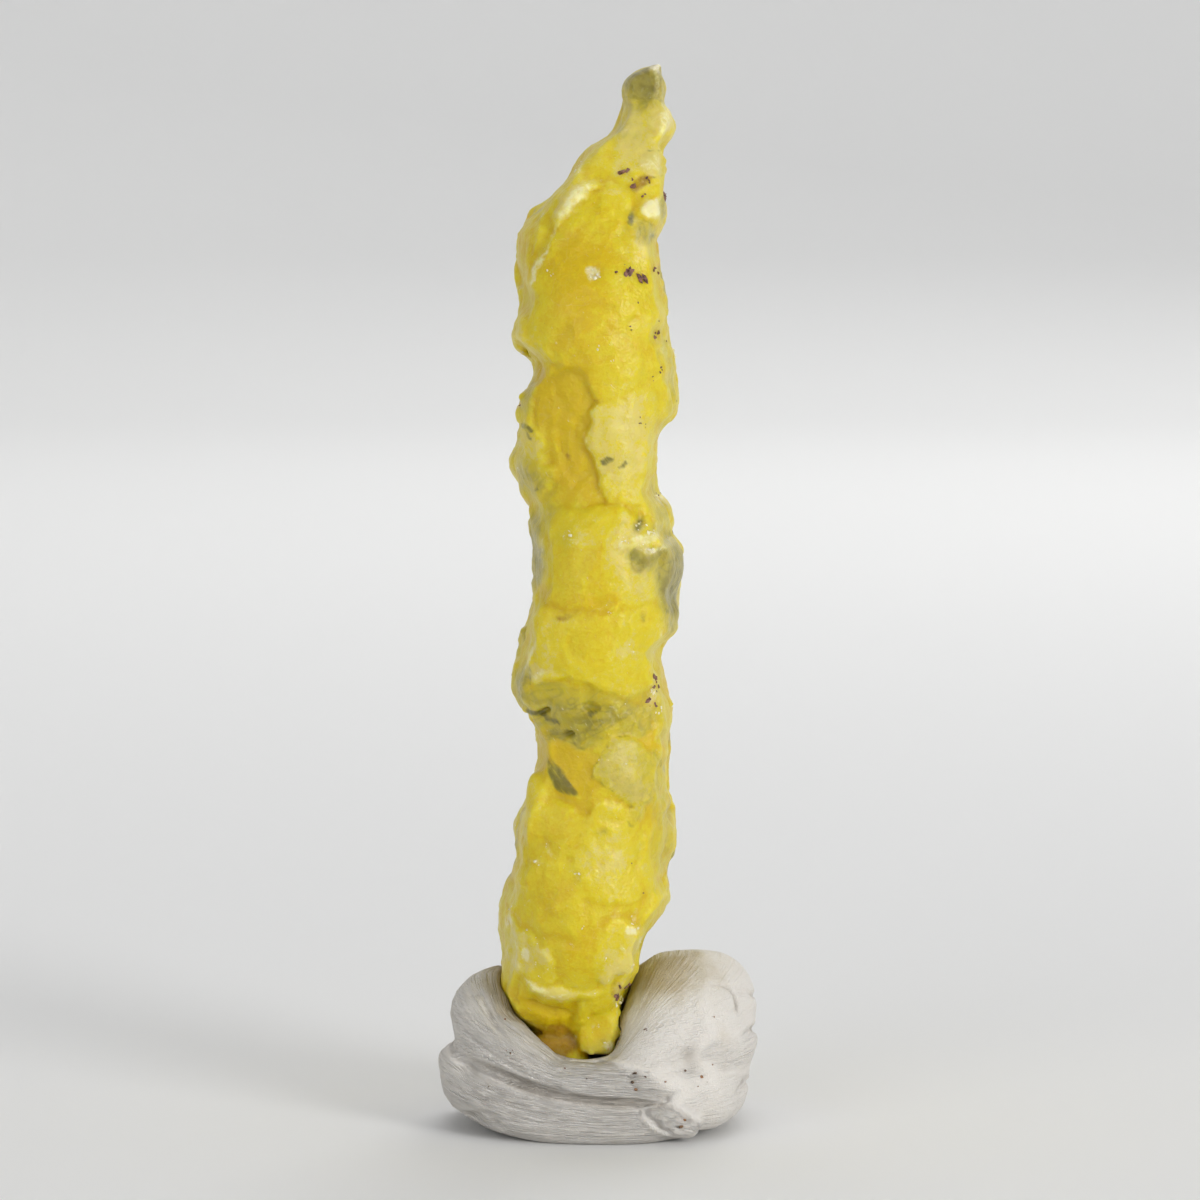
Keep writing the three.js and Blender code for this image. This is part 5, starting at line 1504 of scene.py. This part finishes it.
def putty_look():
    """Dull white putty, shaded in its creases, lighter along its lines and stained beside the specimen."""
    look = Look("putty")
    place = look.place()
    across, along = look.kept("flow_across"), look.kept("flow_along")
    crest, plain = look.kept("crest"), look.kept("plain")
    drawn = look.node("ShaderNodeCombineXYZ", {}, [across, along * 0.05, along * 0.01])
    lines = look.noise(drawn, 0.26, 2.0, 0.55)
    broad_lines = look.noise(drawn, 0.8, 2.0, 0.5)
    grain = look.noise(place, 0.2, 2.0, 0.6)
    blotch = look.noise(place, 4.0, 4.0, 0.6)
    # painted shade: darker in creases and hollows, where crest is low; random blotches and the drawn-out
    # lines darken it too
    grime_and_crease_shade = ((0.46 - crest) * 4.0 + (blotch - 0.5) * 0.9 + (lines - 0.5) * plain * 0.8).step(0.0, 1.0)
    stain = (look.kept("stain") * 0.9 + (blotch - 0.45) * 1.4).step(0.1, 1.0)
    tint = look.mix(stain * 0.85, PUTTY, PUTTY_STAIN)
    tint = look.mix((lines - 0.5).step(0.0, 0.25) * plain * 0.4, tint, PUTTY_LIGHT)
    tint = look.mix(grime_and_crease_shade * 0.75, tint, PUTTY_SHADE)
    height = (lines * 1.3 + broad_lines * 0.7) * plain + grain * 0.22 + blotch * 0.5
    return look.finish(look.principled({
        "Base Color": tint,
        "Roughness": 0.75 + grain * 0.15,
        "Subsurface Weight": 0.12,
        "Subsurface Radius": (1.0, 0.8, 0.6),
        "Subsurface Scale": 0.6 * MM,
        "Normal": look.bump(height, 0.65),
    }))


# ---- grains, points and specks ----

# Grains of host rock in the front: across, up, size.
ROCK_GRAINS = [
    (3.9, 97.7, 1.2), (4.6, 97.0, 0.55), (6.3, 97.0, 0.4), (5.7, 95.4, 0.5), (3.6, 87.3, 1.1),
    (4.5, 87.1, 1.4), (5.1, 86.9, 1.3), (6.9, 87.2, 0.5), (3.2, 84.5, 0.2), (5.5, 83.9, 0.4),
    (5.7, 83.2, 0.35), (7.4, 82.1, 0.25), (7.1, 80.6, 0.6), (4.1, 81.3, 0.35), (-1.7, 80.4, 0.25),
    (-4.5, 81.9, 0.3), (6.9, 76.0, 0.4), (7.6, 76.6, 0.4), (-0.1, 74.4, 0.25), (1.2, 73.5, 0.3),
    (5.4, 71.7, 0.3), (5.5, 71.0, 0.4), (5.9, 70.6, 0.25), (5.0, 69.2, 0.25), (-2.2, 67.3, 0.3),
    (6.6, 42.8, 0.8), (7.0, 42.2, 0.6), (6.4, 40.5, 0.9), (6.8, 39.8, 0.6), (4.1, 22.7, 0.45),
    (3.9, 21.8, 0.4), (5.8, 21.5, 0.25), (5.7, 19.5, 0.25), (3.1, 9.0, 0.7), (2.7, 7.9, 0.75),
    (3.7, 8.4, 0.55),
]

# White crystal points in the front, and small white points that are painted glints: across, up, size.
WHITE_POINTS = [
    (5.5, 111.1, 0.5), (6.8, 110.2, 0.5), (0.5, 87.6, 0.8), (0.9, 86.9, 0.7), (-4.4, 87.3, 0.45),
    (-4.1, 87.1, 0.3), (-0.3, 79.3, 0.5), (0.7, 79.3, 0.6), (2.4, 78.2, 0.4), (-2.5, 59.4, 0.6),
    (-2.9, 58.8, 0.4), (-2.1, 60.0, 0.4), (6.2, 59.6, 0.6), (5.2, 60.0, 0.45), (6.8, 59.0, 0.5),
    (3.9, 58.5, 0.6), (5.6, 57.9, 0.6), (6.6, 57.5, 0.55), (1.5, 55.7, 0.5), (1.6, 51.3, 0.5),
    (2.2, 50.9, 0.35), (0.4, 52.7, 0.3), (4.2, 46.9, 0.6), (4.5, 46.4, 0.4), (-5.8, 44.1, 0.4),
    (6.8, 41.4, 0.7), (7.4, 39.6, 0.6), (3.9, 40.6, 0.3), (4.3, 39.2, 0.35), (-4.9, 24.9, 0.5),
    (-5.2, 24.1, 0.45), (-5.8, 23.2, 0.5), (-2.9, 22.6, 0.35), (-1.5, 22.0, 0.5), (-0.8, 20.9, 0.55),
    (-0.5, 20.3, 0.45), (-0.9, 16.2, 0.4), (4.8, 16.9, 0.5), (4.9, 15.9, 0.5), (-6.9, 15.1, 0.4),
    (-5.6, 14.0, 0.4), (-4.2, 11.2, 0.4), (3.5, 6.6, 0.6), (3.0, 6.4, 0.5), (0.9, 4.1, 0.3), (0.2, 3.4, 0.3),
    # from (-7.4, 12.6) on, the small points on the lower body are painted glints
    (1.2, 34.2, 0.3), (4.0, 33.9, 0.3), (-7.4, 12.6, 0.35), (-6.0, 11.4, 0.3), (-5.5, 10.2, 0.3),
    (-3.4, 18.0, 0.25), (-1.6, 13.2, 0.25), (1.6, 12.2, 0.3), (2.2, 9.9, 0.3), (4.4, 11.4, 0.35),
    (-4.0, 8.3, 0.3), (-1.0, 8.0, 0.3), (0.6, 8.4, 0.3), (1.6, 2.2, 0.3), (-0.2, 5.2, 0.25),
    (-8.6, 17.4, 0.3), (0.9, 17.8, 0.25), (2.9, 19.6, 0.25),
]

# Bits that stuck to the putty's front: across, up, size.
PUTTY_SPECKS = [
    (3.9, 7.9, 0.35), (3.6, 7.0, 0.3), (4.0, 6.2, 0.25), (-10.4, 13.0, 0.2), (-3.8, 8.4, 0.2),
    (-1.4, 7.4, 0.18), (-9.6, 6.6, 0.18), (5.0, 7.6, 0.2), (7.2, 7.0, 0.22), (9.4, 8.0, 0.2),
    (11.2, 7.2, 0.2), (10.8, 6.2, 0.16), (12.4, 8.4, 0.16), (6.2, 5.6, 0.16), (-12.2, 5.8, 0.16),
    (-6.4, 5.2, 0.18), (-2.6, 4.6, 0.2), (-1.2, 5.0, 0.16), (8.9, 2.2, 0.3), (9.3, 2.9, 0.25),
    (-5.4, 2.4, 0.14),
]


CRUMB_FLATNESS = 0.6
CRUMB_REACH = 5.0  # how far before and behind a cluster's place its bits can lie


class Crumbs:
    """Small angular bits, half sunk in a surface, gathered into one mesh."""

    def __init__(self, seed):
        self.chance = np.random.default_rng(seed)
        ball = bmesh.new()
        bmesh.ops.create_icosphere(ball, subdivisions=1, radius=1.0)
        self.ball = np.array([vertex.co for vertex in ball.verts])
        self.ball_faces = np.array([[vertex.index for vertex in face.verts] for face in ball.faces])
        ball.free()
        self.points, self.faces = [], []

    def cluster(self, field, place, inward, size, count):
        """Adds a few bits round a place, each sunk a little into the surface."""
        for _ in range(count):
            aside = self.chance.normal(0, 0.45 * size, 3)
            aside -= (aside @ inward) * inward
            bit = size * self.chance.uniform(0.3, 0.7)
            found = field.meet(place + aside - CRUMB_REACH * inward, inward, 2 * CRUMB_REACH)
            if found is not None:
                self.add(found + 0.4 * bit * inward, bit)

    def add(self, place, size):
        chance = self.chance
        turn = Euler(chance.uniform(0, 2 * math.pi, 3)).to_matrix()
        stretch = size * chance.uniform(0.6, 1.2, 3) * (1, CRUMB_FLATNESS, 1)
        bit = self.ball * chance.uniform(0.7, 1.15, (len(self.ball), 1)) * stretch
        self.faces.append(self.ball_faces + sum(map(len, self.points)))
        self.points.append(bit @ np.array(turn) + place)

    def scatter(self, field, side, count, low, high, sizes, foot):
        """Adds clusters at places found by chance on one side."""
        for _ in range(count):
            found = field.face(side, *self.chance.uniform(low, high), foot)
            if found is not None:
                self.cluster(field, found, SIDES[side][1], self.chance.uniform(*sizes), 3)

    def make(self, name, look, slot):
        made = new_object(name, np.vstack(self.points), np.vstack(self.faces).tolist(), smooth=False)
        finish(made, look)


def speckled_look(name, dark, light, size, roughness):
    """A grainy surface between two colours."""
    look = Look(name)
    grain = look.noise(look.place(), size, 3.0, 0.6)
    tint = look.mix(grain.step(0.35, 0.65), dark, light)
    inputs = {"Base Color": tint, "Roughness": roughness + grain * 0.2, "Normal": look.bump(grain, 0.08)}
    return look.finish(look.principled(inputs))


def make_crumbs(stone, putty):
    """Host rock and white points on the specimen, some of the points painted glints, and the bits that stuck
    to the putty.
    """
    rock, white, specks = Crumbs(1), Crumbs(2), Crumbs(3)
    for crumbs, rows, count in ((rock, ROCK_GRAINS, 3), (white, WHITE_POINTS, 4)):
        for across, up, size in rows:
            found = stone.face("front", across, up, STONE_FOOT)
            if found is not None:
                crumbs.cluster(stone, found, SIDES["front"][1], size, count)
    for side, low, high in (("right", -10, 16), ("back", -8, 8), ("left", -16, 10)):
        rock.scatter(stone, side, 22, (low, 12), (high, 104), (0.25, 0.9), STONE_FOOT)
        white.scatter(stone, side, 34, (low, 12), (high, 104), (0.25, 0.6), STONE_FOOT)
    for across, up, size in PUTTY_SPECKS:
        found = putty.face("front", across, up, PUTTY_FOOT)
        if found is not None:
            specks.add(found, size)
    for side in ("right", "back", "left"):
        specks.scatter(putty, side, 12, (-14, 2), (14, 14), (0.12, 0.3), PUTTY_FOOT)
    host_rock = speckled_look("host_rock", (0.07, 0.025, 0.015), (0.27, 0.13, 0.09), 0.5, 0.5)
    rock.make("host_rock_grains", host_rock, "brucite")
    # white crystal, and the painted glints on the lower body
    white_crystal_and_glints = speckled_look("white_crystal_and_glints", (0.74, 0.67, 0.35), (0.86, 0.83, 0.66), 0.4, 0.25)
    white.make("white_points", white_crystal_and_glints, "brucite")
    speck = speckled_look("speck", (0.06, 0.045, 0.03), (0.32, 0.16, 0.07), 0.6, 0.6)
    specks.make("putty_specks", speck, "putty")


# ---- the stage, lights and camera ----

SEEN_WIDTH = 132 * MM  # what the square picture spans at the specimen's front
SEEN_DEPTH = -5 * MM  # where that is, forward of the middle
LENS, SENSOR = 200.0, 36

# The floor's profile, from its middle out and up, as radius and height in metres.
FLOOR_PROFILE = [(1.0, 0.0), (1.25, 0.03), (1.45, 0.12), (1.6, 0.3), (1.66, 0.6), (1.68, 1.3)]
FLOOR_PIECES = 96  # round each ring of it


def look_at(made, target):
    made.rotation_euler = (Vector(target) - made.location).to_track_quat("-Z", "Y").to_euler()


def make_light(name, place, target, size, watts):
    data = bpy.data.lights.new(name, "AREA")
    data.shape, data.size, data.energy = "DISK", size, watts
    made = in_scene(name, data)
    made.location = place
    look_at(made, target)


def make_stage():
    """A pale floor that sweeps up into a low round wall, far enough out for any view."""
    points = []
    for radius, height in FLOOR_PROFILE:
        for turn in range(FLOOR_PIECES):
            angle = 2 * math.pi * turn / FLOOR_PIECES
            points.append((radius * math.cos(angle) / MM, radius * math.sin(angle) / MM, height / MM))
    faces = [list(range(FLOOR_PIECES))]
    for low in range(0, len(points) - FLOOR_PIECES, FLOOR_PIECES):
        for turn in range(FLOOR_PIECES):
            high, after = low + FLOOR_PIECES, (turn + 1) % FLOOR_PIECES
            faces.append([low + turn, high + turn, high + after, low + after])
    floor = new_object("floor", points, faces)
    floor.location.z = CAD_BOX[0][2]
    look = Look("floor")
    shade = look.noise(look.place(), 900.0, 2.0)
    tint = look.mix(shade, (0.80, 0.80, 0.79), (0.84, 0.84, 0.83))
    floor.data.materials.append(look.finish(look.principled({"Base Color": tint, "Roughness": 0.9})))


def make_camera():
    """A long lens, a little above level, before the specimen's front."""
    tilt = math.radians(SIGHT_TILT)
    low, high = CAD_BOX
    target = Vector(((low[0] + high[0]) / 2, SEEN_DEPTH, (low[2] + high[2]) / 2))
    data = bpy.data.cameras.new("camera")
    data.lens, data.sensor_width = LENS, SENSOR
    distance = SEEN_WIDTH * LENS / SENSOR
    camera = in_scene("camera", data)
    camera.location = target + distance * Vector((0, -math.cos(tilt), math.sin(tilt)))
    look_at(camera, target)
    data.clip_start = 0.01
    bpy.context.scene.camera = camera


def light_stage():
    target = (0, 0, 0.06)
    make_light("key", (0.78, -0.85, 0.34), target, 0.5, 7.3)
    make_light("fill", (-0.6, -0.95, 0.3), target, 0.8, 2.9)
    make_light("top", (0.0, 0.1, 1.1), target, 0.9, 1.6)
    make_light("back", (0.3, 0.9, 0.6), target, 0.6, 2.2)
    make_light("backdrop", (0.0, 0.6, 1.25), (0, 1.66, 0.3), 0.9, 4.5)
    world = bpy.data.worlds.new("world")
    world.use_nodes = True
    sky = world.node_tree.nodes["Background"].inputs
    sky["Color"].default_value, sky["Strength"].default_value = (0.95, 0.96, 1.0, 1), 0.32
    bpy.context.scene.world = world
    bpy.context.scene.view_settings.view_transform = "Standard"


# ---- everything together ----

stone_field, stone_sides = grow_specimen()
make_specimen(stone_field, stone_sides)
putty_field, putty_rolls = knead_putty(stone_field)
make_putty(putty_field, putty_rolls, stone_field)
make_crumbs(stone_field, putty_field)
make_stage()
light_stage()
make_camera()
